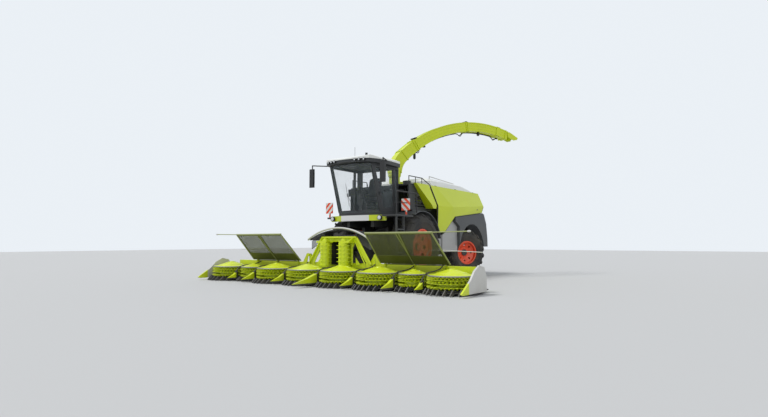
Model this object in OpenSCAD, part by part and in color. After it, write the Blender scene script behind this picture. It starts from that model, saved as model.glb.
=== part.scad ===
// Self-propelled forage harvester with an eight-rotor, folding maize header.
// The machine faces -Y, +X is the driver's left and +Z is up.
// Modules are drawn with the front axle at y = 0 and moved by y_shift at the end,
// so that the origin lies on the ground below the middle of the whole machine.

/* [Wheels] */
// Distance between the front and the rear axle
wheelbase = 3450; // [3350:10:3500]
// Overall diameter of the front tyres
front_tyre_d = 2040; // [1960:10:2080]
// Section width of the front tyres
front_tyre_w = 700; // [600:10:720]
// Diameter of the front rims at the tyre bead
front_rim_d = 1060; // [960:10:1120]
// Distance between the middles of the front tyres
front_track = 2340; // [2300:10:2400]
// Overall diameter of the rear tyres
rear_tyre_d = 1600; // [1500:10:1620]
// Section width of the rear tyres
rear_tyre_w = 600; // [500:10:620]
// Diameter of the rear rims at the tyre bead
rear_rim_d = 780; // [720:10:820]
// Distance between the middles of the rear tyres
rear_track = 2360; // [2340:10:2400]
// Height of the tread lugs
lug_h = 45; // [30:5:60]
// Lugs on each half of a tread
lug_count = 18; // [14:1:22]
// Thickness of the rim sheet
rim_t = 24; // [16:1:30]

/* [Chassis] */
// Distance between the middles of the frame rails
rail_gap = 900; // [880:10:910]
// Width of a frame rail
rail_w = 100; // [80:5:110]
// Height of the underside of the frame rails
rail_z = 1180; // [1175:5:1200]
// Depth of a frame rail
rail_h = 260; // [220:10:280]
// Radius of the front axle tube
axle_r = 125; // [100:5:128]
// Distance of a steering pin from its wheel's middle
pin_offset = 390; // [385:5:400]
// Angle at which the rear wheels stand, turned about +Z
steer_turn = -25; // [-25:1:25]
// Radius of a steering pin
pin_r = 45; // [35:1:50]
// Bore for the pin of a towed trailer
hitch_bore_d = 33; // [28:1:40]

/* [Body] */
// Half width of the bodywork at the hinges of the side panels
panel_hinge_x = 1205; // [1190:5:1230]
// Height of the hinges of the side panels
panel_hinge_z = 2985; // [2960:5:3010]
// Thickness of the side panels, measured inwards
panel_t = 40; // [25:5:50]
// Height of the top of the white cover
cover_top_z = 3300; // [3250:10:3350]
// Half width of the white cover
cover_half_w = 1150; // [1100:10:1165]

/* [Cab] */
// Height of the cab floor
cab_floor_z = 2020; // [2000:10:2040]
// Height of the cab below its roof
cab_h = 1420; // [1380:10:1480]
// Half width of the cab
cab_half_w = 780; // [760:10:800]
// Distance of the cab's front sill ahead of the front axle
cab_front = 1250; // [1220:10:1270]
// Distance of the cab's rear wall ahead of the front axle
cab_rear = 300; // [290:5:320]
// How far the windscreen leans forward at its top
cab_lean = 430; // [380:10:440]
// Thickness of the cab walls and pillars
cab_wall = 60; // [45:5:70]
// Radius of the curved windscreen in plan
screen_r = 2500; // [2200:50:4000]
// Thickness of the glass
glass_t = 8; // [6:1:12]
// Height of the roof shell
roof_h = 310; // [290:10:330]

/* [Spout] */
// Distance of the spout's turning axis behind the front axle
spout_y = 800; // [780:10:820]
// Width of the spout duct
spout_w = 320; // [280:10:340]
// Angle at which the spout is turned to the driver's left
spout_turn = 25; // [0:1:30]
// Radius of the spout's long back
spout_back_r = 5120; // [4900:20:5300]
// Depth of the duct along its long stretch
spout_depth = 300; // [260:10:330]
// Height of the axis about which the spout is lifted
spout_pivot_z = 3400; // [3380:10:3440]

/* [Header] */
// Radius of a large rotor at its teeth
big_rotor_r = 590; // [560:5:592]
// Radius of a small rotor at its teeth
small_rotor_r = 385; // [360:5:388]
// Free space between the teeth of neighbouring rotors
rotor_gap = 50; // [44:2:60]
// Distance of the rotor axes ahead of the front axle
rotor_y = 2780; // [2760:10:2800]
// Teeth on each ring of a large rotor
big_teeth = 28; // [20:2:32]
// Teeth on each ring of a small rotor
small_teeth = 20; // [16:2:24]
// Height of the rims of the rotors' tops
rotor_top_z = 435; // [425:5:440]
// Thickness of the header's floor plates
floor_t = 25; // [20:1:30]
// Height of the underside of the floor plates
floor_z = 60; // [50:5:65]
// Height of the hinges about which the wings fold
fold_z = 800; // [760:10:820]
// Distance of the middle divider's tip ahead of the front axle
long_tip = 4000; // [3900:10:4050]
// Distance of the other divider tips ahead of the front axle
short_tip = 3580; // [3500:10:3620]
// Length of a crop shield along its slope
shield_len = 1130; // [1000:10:1150]
// Height of the hinge at the foot of a crop shield
shield_z = 600; // [590:5:620]

/* [Hidden] */

$fn = 48;
seat_gap = 0.3;          // running clearance between pieces that seat on each other
cut = 1;                 // how far a cutter reaches past the face that it opens

front_axle_z = front_tyre_d / 2;
rear_axle_z = rear_tyre_d / 2;
front_hub_x = 60;        // wheel disc of a front rim, outwards from the tyre's middle
rear_hub_x = 30;         // wheel disc of a rear rim, outwards from the tyre's middle
hub_r = 160;
spigot_r = 110;
rail_top = rail_z + rail_h;
rail_front = -450;
rail_rear = 4450;

chopper_half_w = 370;
lift_y = -600;           // axis about which the header is lifted
lift_z = 1150;
lift_pin_r = 35;

cab_top_z = cab_floor_z + cab_h;
sill_h = 80;
lean = atan(cab_lean / cab_h);
platform_z = 1900;
skirt_top = 1400;        // top of the tank boxes between the wheels
platform_t = 50;
platform_front = -1520;
platform_half_w = 1520;
guard_r = front_tyre_d / 2 + 50;
guard_t = 22;
fender_in_x = 1010;      // inner side of the rear fenders
bar_half_w = 1010;       // front bar under the windscreen
bar_r = 2960;            // bow of the bar in plan
bar_y = bar_r - 1510;    // keeps the front of the bar at one place
bar_bottom = 1790;
bar_top = cab_floor_z - 65;
visor_h = 110;
roof_crest = -900;       // highest line of the roof
visor_r = 2350;          // bow of the visor in plan
visor_y = 400;
hinge_r = 12;            // barrels of the cab door

bay_front = 1060;        // bulkheads of the engine bay
bay_rear = 4180;
bay_top = 2900;
deck_z = bay_top;        // underside of the service deck
wall_foot_z = 2160;      // foot of its side walls, on the guards over the front tyres
bay_half_w = panel_hinge_x - 85;
bay_t = 30;

turret_z = 3030;
turret_r = 230;
turret_h = 50;
neck_r = 165;            // round head about which the spout arm is lifted
neck_x = -110;           // its distance behind the turning axis, against the spout's reach
lift_pin = 30;
long_start = 43;         // slope of the spout where its elbow meets its long stretch
long_end = -15;          // slope of the long stretch at the flap
flap_slope = 24;
flap_pin_r = 10;
elbow_r = 940;           // outer radius of the elbow

rotor_pitch = big_rotor_r * 2 + rotor_gap;
mixed_pitch = big_rotor_r + small_rotor_r + rotor_gap - 5;
rotor_xs = [rotor_pitch / 2, rotor_pitch * 1.5, rotor_pitch * 1.5 + mixed_pitch,
            rotor_pitch * 1.5 + mixed_pitch * 2];
fold_line = rotor_pitch;
fold_gap = 10;
header_half_w = rotor_xs[3] + big_rotor_r + 10;
end_t = 45;
beam_y = -2130;          // front face of the header's rear beam
beam_d = 140;
beam_bottom = 300;
beam_top = 590;
rotor_bottom = 90;
shield_y = -2160;
shield_pin_r = 13;

spout_reach = 5290;      // how far the spout's tip lies from its turning axis
y_front = -long_tip;
y_back = spout_y + spout_reach * cos(spout_turn) + spout_w / 2 * sin(spout_turn);
y_shift = -(y_front + y_back) / 2;

module place() { translate([0, y_shift, 0]) children(); }

module both() {
    children();
    mirror([1, 0, 0]) children();
}

// A side view, drawn as [y, z] points, made w wide about x
module slab(points, w, x = 0) {
    translate([x - w / 2, 0, 0]) rotate([90, 0, 90]) linear_extrude(w) polygon(points);
}

// A front view, drawn as [x, z] points, from y towards the front by d
module plate(points, y, d) {
    translate([0, y, 0]) rotate([90, 0, 0]) linear_extrude(d) polygon(points);
}

module block(x, y, z) {
    translate([x[0], y[0], z[0]]) cube([x[1] - x[0], y[1] - y[0], z[1] - z[0]]);
}

// A cylinder along X
module bar_x(x, y, z, r) { translate([x[0], y, z]) rotate([0, 90, 0]) cylinder(h = x[1] - x[0], r = r); }

// A round rod from p to q
module rod(p, q, r) {
    d = q - p;
    translate(p) rotate([0, acos(d.z / norm(d)), atan2(d.y, d.x)]) cylinder(h = norm(d), r = r, $fn = 16);
}

// A bent round tube through the points of a path
module tube_path(path, r) {
    for (i = [0 : len(path) - 2]) rod(path[i], path[i + 1], r);
    for (i = [1 : 1 : len(path) - 2]) translate(path[i]) sphere(r = r * 1.04, $fn = 16);
}

// Outline of half a tyre section as [radius, offset from the middle]
function tyre_half(r, w, bead_r, rim_w) = [
    [bead_r, rim_w / 2 - 32], [bead_r + 25, rim_w / 2 - 32], [bead_r + 30, rim_w / 2 + 6],
    [(bead_r + r) / 2, w / 2], [r - 130, w / 2 - 6], [r - 50, w / 2 - 40], [r, w / 2 - 120]];

function flip(points) = [for (i = [len(points) - 1 : -1 : 0]) [points[i].x, -points[i].y]];

function rim_width(w) = w * 0.8;

module tyre(d, w, rim_d) {
    tread_r = d / 2 - lug_h;
    rim_w = rim_width(w);
    half = tyre_half(tread_r, w, rim_d / 2, rim_w);
    rotate([0, 90, 0]) {
        rotate_extrude() polygon(concat(half, flip(half)));
        intersection() {
            for (side = [-1, 1], i = [0 : lug_count - 1])
                rotate([0, 0, (i + side / 4) * 360 / lug_count])
                    translate([tread_r, 0, side * w * 0.27]) rotate([side * 38, 0, 0])
                        cube([lug_h * 4, 58, w * 0.62], center = true);
            rotate_extrude($fn = 128) polygon([
                [tread_r - 70, -w / 2], [d / 2 - 110, -w / 2], [d / 2 - 20, -w / 2 + 60],
                [d / 2, -w / 2 + 130], [d / 2, w / 2 - 130], [d / 2 - 20, w / 2 - 60],
                [d / 2 - 110, w / 2], [tread_r - 70, w / 2]]);
        }
    }
}

module rim(d, w, disc_x) {
    rim_w = rim_width(w);
    r = d / 2 - seat_gap;
    barrel = r - rim_t;
    holes = 8;
    nuts = 10;
    rotate([0, 90, 0]) {
        difference() {
            rotate_extrude() union() {
                translate([barrel, -rim_w / 2]) square([rim_t, rim_w]);
                for (side = [-1, 1])
                    translate([barrel, side > 0 ? rim_w / 2 - 28 : -rim_w / 2]) square([rim_t + 20, 28]);
                polygon([[spigot_r + seat_gap, disc_x], [hub_r + 40, disc_x], [barrel + 2, disc_x + 90],
                         [barrel + 2, disc_x + 90 + rim_t], [hub_r + 30, disc_x + rim_t],
                         [spigot_r + seat_gap, disc_x + rim_t]]);
            }
            for (i = [0 : holes - 1]) rotate([0, 0, i * 360 / holes])
                translate([(hub_r + 35 + barrel) / 2, 0, disc_x - 20]) cylinder(h = 160, r = (barrel - hub_r) * 0.17);
        }
        for (i = [0 : nuts - 1]) rotate([0, 0, i * 360 / nuts])
            translate([(spigot_r + hub_r) / 2 + 15, 0, disc_x + rim_t - 1]) cylinder(h = 22, r = 16, $fn = 6);
    }
}

module main_frame() {
    color("dimgray") place() {
        both() block([rail_gap / 2 - rail_w / 2, rail_gap / 2 + rail_w / 2], [rail_front, rail_rear],
                     [rail_z, rail_top]);
        for (y = [1060, 2100, 4330])
            block([-rail_gap / 2, rail_gap / 2], [y, y + 120], [rail_z + 30, rail_top]);
        // Carrier of the rocking rear axle
        block([-rail_gap / 2, rail_gap / 2], [wheelbase - 170, wheelbase + 170], [rail_z, rail_z + 120]);
        block([-110, 110], [wheelbase - 150, wheelbase + 150], [rear_axle_z + 120, rail_z]);
    }
}

module front_axle() {
    end = front_track / 2 + front_hub_x - seat_gap;
    color("darkslategray") place() {
        bar_x([-end, end], 0, front_axle_z, axle_r);
        both() {
            bar_x([end - 370, end - 80], 0, front_axle_z, 300);
            bar_x([end - 90, end], 0, front_axle_z, hub_r);
            bar_x([end - 1, end + 70], 0, front_axle_z, spigot_r);
            block([rail_gap / 2 - rail_w / 2, rail_gap / 2 + rail_w / 2], [-axle_r, axle_r],
                  [front_axle_z, rail_z]);
        }
    }
}

module rear_axle() {
    pin_x = rear_track / 2 - pin_offset;
    fork_h = 180;
    color("darkslategray") place() translate([0, wheelbase, rear_axle_z]) {
        difference() {
            union() {
                block([-pin_x + 95, pin_x - 95], [-75, 75], [-80, 120]);
                both() {
                    block([pin_x - 200, pin_x - 92], [-75, 75], [-fork_h, fork_h]);
                    for (z = [-fork_h, 130]) {
                        block([pin_x - 150, pin_x], [-75, 75], [z, z + fork_h - 130]);
                        translate([pin_x, 0, z]) cylinder(h = fork_h - 130, r = 75);
                    }
                }
            }
            both() translate([pin_x, 0, -fork_h - cut]) cylinder(h = (fork_h + cut) * 2, r = pin_r + seat_gap);
        }
    }
}

// Knuckle and stub axle of a steered wheel, on the driver's left
module knuckle_shape() {
    pin_x = rear_track / 2 - pin_offset;
    end = rear_track / 2 + rear_hub_x - seat_gap;
    translate([0, wheelbase, rear_axle_z]) {
        translate([pin_x, 0, -185]) cylinder(h = 370, r = pin_r);
        translate([pin_x, 0, -130 + seat_gap]) cylinder(h = 260 - seat_gap * 2, r = 78);
        bar_x([pin_x, end], 0, 0, 75);
        bar_x([end - 130, end - 60], 0, 0, 230);
        bar_x([end - 90, end], 0, 0, hub_r);
        bar_x([end - 1, end + 60], 0, 0, spigot_r);
    }
}

// Turns what stands about the steering pin of one side into its place
module steered(side) {
    pin = [side * (rear_track / 2 - pin_offset), wheelbase, 0];
    place() translate(pin) rotate([0, 0, steer_turn]) translate(-pin) children();
}

module knuckle_left() { color("darkslategray") steered(1) knuckle_shape(); }
module knuckle_right() { color("darkslategray") steered(-1) mirror([1, 0, 0]) knuckle_shape(); }

module front_wheel_place(side) {
    place() translate([side * front_track / 2, 0, front_axle_z]) scale([side, 1, 1]) children();
}

module rear_wheel_place(side) {
    steered(side) translate([side * rear_track / 2, wheelbase, rear_axle_z]) scale([side, 1, 1]) children();
}

module tyre_front_left() { color("black") front_wheel_place(1) tyre(front_tyre_d, front_tyre_w, front_rim_d); }
module tyre_front_right() { color("black") front_wheel_place(-1) tyre(front_tyre_d, front_tyre_w, front_rim_d); }
module tyre_rear_left() { color("black") rear_wheel_place(1) tyre(rear_tyre_d, rear_tyre_w, rear_rim_d); }
module tyre_rear_right() { color("black") rear_wheel_place(-1) tyre(rear_tyre_d, rear_tyre_w, rear_rim_d); }
module rim_front_left() { color("orangered") front_wheel_place(1) rim(front_rim_d, front_tyre_w, front_hub_x); }
module rim_front_right() { color("orangered") front_wheel_place(-1) rim(front_rim_d, front_tyre_w, front_hub_x); }
module rim_rear_left() { color("orangered") rear_wheel_place(1) rim(rear_rim_d, rear_tyre_w, rear_hub_x); }
module rim_rear_right() { color("orangered") rear_wheel_place(-1) rim(rear_rim_d, rear_tyre_w, rear_hub_x); }

module engine_block() {
    color("gray") place() block([-460, 460], [2000, 3850], [rail_top, 2350]);
}

// Cutting drum housing ahead of the axle, duct over the axle and tower up to the turntable
module chopper_housing() {
    w = chopper_half_w * 2;
    color("slategray") place() {
        slab([[-620, 640], [-540, 560], [-150, 560], [-150, 1175], [420, 1190], [560, 1440], [560, 1640],
              [300, 1600], [-60, 1500], [-540, 1500], [-620, 1400]], w);
        slab([[500, 1300], [700, 1340], [spout_y + 200, 1760], [spout_y + 200, turret_z],
              [spout_y - 140, turret_z], [spout_y - 140, 2100], [500, 1640]], 300);
        translate([0, spout_y, turret_z - 20]) cylinder(h = 20 + turret_h, r = turret_r);
        bar_x([-chopper_half_w - 32, chopper_half_w + 32], lift_y, lift_z, lift_pin_r);
        both() block([chopper_half_w - 10, rail_gap / 2], [-140, 120], [rail_top, rail_top + 20]);
    }
}

// Upper edge of a rear fender, as [y, z]
fender_line = [[2170, 2005], [4378, 2234]];
function fender_top(y) = lookup(y, fender_line);

// Frame that carries the covers over the engine, with the hinge barrels of the side panels
module engine_bay() {
    color("dimgray") place() {
        for (y = [bay_front, bay_rear]) difference() {
            block([-bay_half_w, bay_half_w], [y, y + bay_t], [rail_top, bay_top]);
            block([-bay_half_w + 90, bay_half_w - 90], [y - cut, y + bay_t + cut],
                  [rail_top + (y > bay_front ? 800 : 1000), bay_top - 90]);
            // The rear one stands on the rear fenders
            if (y > bay_front) both() block([fender_in_x - 10, bay_half_w + cut], [y - cut, y + bay_t + cut],
                                            [rail_top - cut, fender_top(bay_rear + bay_t) + seat_gap]);
        }
        both() {
            block([bay_half_w - 40, bay_half_w], [bay_front, bay_rear + bay_t], [bay_top - 40, bay_top]);
            for (y = [1200, 2600, 4000]) {
                plate([[bay_half_w - 30, bay_top - 35], [bay_half_w + 20, bay_top - 60],
                       [panel_hinge_x + 8, panel_hinge_z - 10], [panel_hinge_x - 8, panel_hinge_z + 10],
                       [cover_half_w + 6, bay_top + 12], [cover_half_w + 2, bay_top],
                       [bay_half_w - 30, bay_top]], y + 40, 40);
                translate([panel_hinge_x, y + 70, panel_hinge_z]) rotate([90, 0, 0]) cylinder(h = 100, r = 15);
            }
        }
    }
}

// Crown of the white cover, as [y, z] from the side and [x, z] from the front
cover_start = 1100;       // clear of the turning spout
cover_side = [[cover_start, cover_top_z - 130], [1240, cover_top_z - 20], [1500, cover_top_z], [2600, cover_top_z],
              [3700, cover_top_z - 200], [4300, cover_top_z - 330]];
cover_front = [[0, cover_top_z], [400, cover_top_z], [cover_half_w - 330, cover_top_z - 20],
               [cover_half_w - 90, cover_top_z - 130], [cover_half_w, bay_top + 60]];
function cover_z(x, y) = min(lookup(x, cover_front), lookup(y, cover_side));

// White cover over the engine, a long crowned form that falls towards the rear
module top_cover() {
    half = concat(cover_front, [[cover_half_w, bay_top], [0, bay_top]]);
    color("white") place() intersection() {
        slab(concat([[cover_start, bay_top]], cover_side, [[4385, bay_top]]), cover_half_w * 2);
        both() plate(half, 4400, 3500);
    }
}

module rear_cowl() {
    color("dimgray") place() {
        difference() {
            union() {
                both() plate([[0, bay_top], [1150, bay_top], [1410, 2480], [1330, 2245], [fender_in_x - 10, 2245],
                              [900, rail_top + 10], [0, rail_top + 10]], 4510, 60);
                block([-fender_in_x, fender_in_x], [bay_rear + bay_t, 4460], [rail_top + 10, bay_top]);
            }
            block([-820, 820], [4360, 4510 + cut], [1560, 2640]);
        }
        for (z = [1600 : 104 : 2600])
            slab([[4375, z], [4485, z - 30], [4485, z], [4375, z + 30]], 1640);
    }
}

module service_deck() {
    deck_front = -250;
    deck_rear = bay_front - 5;
    deck_t = 30;
    top = deck_z + deck_t;
    color("darkslategray") place() {
        difference() {
            block([-bay_half_w, bay_half_w], [deck_front, deck_rear], [deck_z, top]);
            translate([0, spout_y, deck_z - cut]) cylinder(h = deck_t + cut * 2, r = turret_r + 60);
            block([-160, 160], [spout_y - 150, deck_rear + cut], [deck_z - cut, top + cut]);
        }
        both() {
            difference() {
                block([bay_half_w - 30, bay_half_w], [deck_front, bay_front], [wall_foot_z, deck_z]);
                for (z = [2260 : 90 : 2700])
                    block([bay_half_w - 31, bay_half_w + 1], [100, 800], [z, z + 40]);
            }
            block([rail_gap / 2 - 40, rail_gap / 2 + 40], [560, 640], [rail_top, deck_z]);
            block([rail_gap / 2 - 40, bay_half_w - 20], [560, 640], [2200, 2280]);
        }
        // Air intake and silencer on the deck
        translate([620, 420, top - cut]) cylinder(h = 190, r = 130);
        translate([-620, 420, top - cut]) cylinder(h = 330, r = 90);
        for (y = [150 : 70 : 360]) block([820, 1080], [y, y + 26], [top - cut, top + 60]);
    }
}

// Fixed green corner ahead of each side panel
module corner_panels() {
    foot = 2230;
    color("yellowgreen") place() both() intersection() {
        slab([[0, panel_hinge_z], [775, panel_hinge_z], [960, 2330], [940, foot], [760, foot]], 700, 1300);
        plate([[bay_half_w, panel_hinge_z], [panel_hinge_x + 15, panel_hinge_z], [1400, 2330], [1390, foot],
               [bay_half_w, foot]], 1000, 1100);
    }
}

// Arched guards over the front tyres and dark wings over the rear tyres
module fenders() {
    in_x = cab_half_w + 5;
    guard_w = 710;
    arch_r = 1005;           // room for a steered rear tyre
    outline = concat([[2480, 1000], [2480, 1700], [2170, 1880]], fender_line, [[4470, 2190], [4660, 1850], [4760, 1300], [4770, 1000]]);
    pocket = [[2515, 900], [2515, 1722], [2205, 1902], [2205, 1970], [4350, 2195], [4440, 2160], [4615, 1840], [4715, 1290], [4725, 900]];
    out_x = 1440;
    color("dimgray") place() both() {
        // Guard of a front tyre and the web that joins it to the deck's side wall
        translate([in_x, 0, front_axle_z]) rotate([90, 0, 90])
            intersection() {
                difference() {
                    cylinder(h = guard_w, r = guard_r + guard_t, $fn = 96);
                    translate([0, 0, -cut]) cylinder(h = guard_w + cut * 2, r = guard_r, $fn = 96);
                }
                linear_extrude(guard_w)
                    polygon([[0, 0], [-620, 1180], [0, 1300], [1200, 1200], [1300, 330]]);
            }
        difference() {
            block([bay_half_w - 30, bay_half_w], [-60, 420], [front_axle_z + guard_r - 110, wall_foot_z]);
            bar_x([bay_half_w - 40, bay_half_w + 10], 0, front_axle_z, guard_r + guard_t / 2);
        }
        // Wing of a rear tyre: outer plate, rim all round and arched liner
        difference() {
            slab(outline, out_x - fender_in_x, (out_x + fender_in_x) / 2);
            bar_x([fender_in_x - 10, out_x + 10], wheelbase, rear_axle_z, arch_r);
            difference() {
                slab(pocket, out_x - 40 - fender_in_x + 10, (out_x - 40 + fender_in_x - 10) / 2);
                bar_x([fender_in_x - 20, out_x], wheelbase, rear_axle_z, arch_r + 30);
            }
        }
    }
}

// Tank boxes between the wheels, with the pale panel ahead of each rear wheel
module side_skirts() {
    color("silver") place() both() {
        block([rail_gap / 2 + rail_w / 2, 1300], [1140, 2000], [880, skirt_top]);
        slab([[1420, 850], [2465, 850], [2465, 1688], [2158, 1868], [2040, 1880], [1600, 1480], [1420, 1400]], 40, 1320);
    }
}

module platform() {
    ladder_front = -1490;
    ladder_rear = -1100;
    color("darkslategray") place() {
        block([-cab_half_w, cab_half_w], [-cab_front, -cab_rear], [platform_z, cab_floor_z - 60]);
        block([cab_half_w - 10, platform_half_w], [-1250, -640], [platform_z, platform_z + platform_t]);
        block([bar_half_w + 10, platform_half_w], [platform_front, -1240], [platform_z, platform_z + platform_t]);
        block([-1490, -cab_half_w + 10], [-990, -640], [platform_z, platform_z + platform_t]);
        both() {
            block([rail_gap / 2 - 50, rail_gap / 2 + 50], [-cab_front + 50, rail_front + 300], [1620, platform_z]);
            block([rail_gap / 2 - 50, rail_gap / 2 + 50], [rail_front, rail_front + 300], [rail_top, 1640]);
        }
        // Ladder on the driver's left
        for (y = [ladder_front, ladder_rear - 30]) block([1460, 1510], [y, y + 30], [480, platform_z + 10]);
        for (z = [520 : 330 : 1600]) block([1440, platform_half_w], [ladder_front + 10, ladder_rear - 10], [z, z + 35]);
    }
}

// Front bar under the windscreen, bowed in plan
module light_bar() {
    color("white") place() {
        intersection() {
            block([-bar_half_w, bar_half_w], [-1700, -1000], [bar_bottom, bar_top]);
            translate([0, bar_y, bar_bottom - 10]) difference() {
                cylinder(h = 300, r = bar_r, $fn = 360);
                translate([0, 0, -cut]) cylinder(h = 302, r = bar_r - 60, $fn = 360);
            }
        }
        both() block([500, 560], [-1420, -cab_front], [platform_z + 10, bar_top - 5]);
    }
}

// Side wall of the cab as seen from the side, for the pillars' outline
function cab_side(inset) = [
    [-cab_front + inset * 1.3, cab_floor_z + inset], [-cab_front - cab_lean + inset * 1.4, cab_top_z - inset],
    [-cab_rear - inset, cab_top_z - inset], [-cab_rear - inset, cab_floor_z + inset]];

door_rear = -560;        // rear edge of the door opening
door_clear = 8;

module cab_side_wall() {
    difference() {
        slab(cab_side(0), cab_wall, cab_half_w - cab_wall / 2);
        slab([[-cab_front + 80, cab_floor_z + cab_wall], [-cab_front - cab_lean + 84, cab_top_z - cab_wall],
              [door_rear, cab_top_z - cab_wall], [door_rear, cab_floor_z + cab_wall]],
             cab_wall + cut * 2, cab_half_w - cab_wall / 2);
        slab([[door_rear + 60, 2350], [door_rear + 60, cab_top_z - cab_wall],
              [-cab_rear - cab_wall, cab_top_z - cab_wall], [-cab_rear - cab_wall, 2350]],
             cab_wall + cut * 2, cab_half_w - cab_wall / 2);
    }
}

// Plan band of the bowed front, d deep, whose ends lie on the front pillars
module front_band(inner, outer) {
    half = cab_half_w;
    drop = sqrt(screen_r * screen_r - half * half);
    intersection() {
        translate([0, drop]) difference() {
            circle(r = screen_r + outer, $fn = 128);
            circle(r = screen_r + inner, $fn = 128);
        }
        translate([-half, -400]) square([half * 2, 410]);
    }
}

module cab_frame() {
    color("black") place() {
        both() cab_side_wall();
        block([-cab_half_w, cab_half_w], [-cab_front, -cab_rear], [cab_floor_z - 60, cab_floor_z]);
        translate([0, -cab_front, cab_floor_z - 60]) linear_extrude(sill_h + 60) front_band(-60, 0);
        translate([0, -cab_front - cab_lean + 60 * tan(lean) + seat_gap, cab_top_z - 60])
            linear_extrude(60) front_band(-60, 0);
        difference() {
            block([-cab_half_w + 5, cab_half_w - 5], [-cab_rear - cab_wall, -cab_rear], [cab_floor_z - 5, cab_top_z]);
            block([-600, 600], [-cab_rear - cab_wall - cut, -cab_rear + cut], [2700, cab_top_z - 60]);
        }
    }
}

module cab_glass() {
    color("lightblue") place() {
        // Windscreen
        intersection() {
            translate([0, -cab_front, cab_floor_z]) rotate([lean, 0, 0])
                linear_extrude(cab_h * 1.1) front_band(0.5, glass_t);
            block([-cab_half_w, cab_half_w], [-2200, -1000], [cab_floor_z + 20, cab_top_z]);
        }
        // Right side pane and the small rear panes
        translate([-cab_half_w + cab_wall / 2, 0, 0])
            slab([[-cab_front + 80, cab_floor_z + cab_wall], [-cab_front - cab_lean + 84, cab_top_z - cab_wall],
                  [door_rear, cab_top_z - cab_wall], [door_rear, cab_floor_z + cab_wall]], glass_t);
        both() slab([[door_rear + 60, 2350], [door_rear + 60, cab_top_z - cab_wall],
                     [-cab_rear - cab_wall, cab_top_z - cab_wall], [-cab_rear - cab_wall, 2350]], glass_t,
                    cab_half_w - cab_wall / 2);
        block([-600, 600], [-cab_rear - 34, -cab_rear - 26], [2700, cab_top_z - 60]);
    }
}

// The door fills the opening in the left wall and turns on the rear pillar
door_t = 40;
module door_outline(grow) {
    m = door_clear - grow;
    slab([[-cab_front + 80 + m, cab_floor_z + cab_wall + m], [-cab_front - cab_lean + 84 + m, cab_top_z - cab_wall - m],
          [door_rear - m, cab_top_z - cab_wall - m], [door_rear - m, cab_floor_z + cab_wall + m]],
         door_t, cab_half_w - door_t / 2);
}

module cab_door() {
    b = 55;
    color("black") place() {
        difference() {
            door_outline(0);
            slab([[-cab_front + 80 + b * 1.4, cab_floor_z + cab_wall + b + 60],
                  [-cab_front - cab_lean + 84 + b * 1.5, cab_top_z - cab_wall - b],
                  [door_rear - b, cab_top_z - cab_wall - b], [door_rear - b, cab_floor_z + cab_wall + b + 60]],
                 door_t + cut * 2, cab_half_w - door_t / 2);
        }
        for (z = [2300, 3100]) translate([cab_half_w + hinge_r + seat_gap, door_rear + 2, z]) {
            cylinder(h = 90, r = hinge_r);
            block([-hinge_r - 4, 0], [-60, -hinge_r + 4], [0, 90]);
        }
        block([cab_half_w - 1, cab_half_w + 24], [-1312, -1278], [2540, 2620]);
    }
}

module cab_door_glass() {
    b = 55;
    color("lightblue") place()
        slab([[-cab_front + 80 + b * 1.4, cab_floor_z + cab_wall + b + 60],
              [-cab_front - cab_lean + 84 + b * 1.5, cab_top_z - cab_wall - b],
              [door_rear - b, cab_top_z - cab_wall - b], [door_rear - b, cab_floor_z + cab_wall + b + 60]],
             glass_t, cab_half_w - door_t / 2);
}

// Roof and visor as seen from above, a bowed front between slanted corners
module roof_plan(h, grow) {
    linear_extrude(h) intersection() {
        polygon([[-700, -2100], [700, -2100], [930, -1450], [930, -1000], [860, -340],
                 [-860, -340], [-930, -1000], [-930, -1450]]);
        translate([0, visor_y]) circle(r = visor_r + grow, $fn = 128);
    }
}

module cab_roof() {
    z = cab_top_z + visor_h;
    top = cab_top_z + roof_h;
    color("white") place() intersection() {
        slab([[-2000, z], [-1960, z + 30], [-1800, z + 90], [-1500, top - 40], [roof_crest, top], [-560, top - 25],
              [-340, z + 60], [-340, z]], 2100);
        plate([[-930, z], [-920, z + 40], [-800, top - 100], [-480, top], [480, top], [800, top - 100],
               [920, z + 40], [930, z]], -10, 2100);
        translate([0, 0, z]) roof_plan(roof_h, 15);
    }
}

module roof_visor() {
    color("black") place() intersection() {
        slab([[-2000, cab_top_z + 50], [-2000, cab_top_z + visor_h], [-300, cab_top_z + visor_h], [-300, cab_top_z],
              [-1720, cab_top_z], [-1900, cab_top_z + 10]], 2040);
        translate([0, 0, cab_top_z - 10]) roof_plan(visor_h + 20, 0);
    }
}

module operator_seat() {
    color("darkslategray") place() {
        block([-250, 250], [-900, -430], [2420, 2540]);
        slab([[-520, 2530], [-450, 3180], [-375, 3180], [-430, 2530]], 480);
        block([-180, 180], [-820, -470], [cab_floor_z, 2425]);
        both() block([245, 320], [-860, -460], [2600, 2660]);
        both() block([245, 270], [-590, -530], [2500, 2610]);
    }
}

module steering_console() {
    color("black") place() {
        slab([[-1240, cab_floor_z], [-1090, 2660], [-1030, 2640], [-1160, cab_floor_z]], 120);
        translate([0, -1065, 2655]) rotate([-25, 0, 0]) {
            cylinder(h = 30, r = 40);
            translate([0, 0, 22]) rotate_extrude() translate([190, 0]) circle(r = 15, $fn = 16);
            for (a = [0, 120, 240]) rotate([0, 0, a]) translate([0, -10, 14]) cube([185, 20, 14]);
        }
        // Screen on its arm at the driver's right
        block([-520, -250], [-1130, -1100], [2560, 2780]);
        rod([-420, -1115, cab_floor_z], [-420, -1115, 2570], 20);
    }
}

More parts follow.
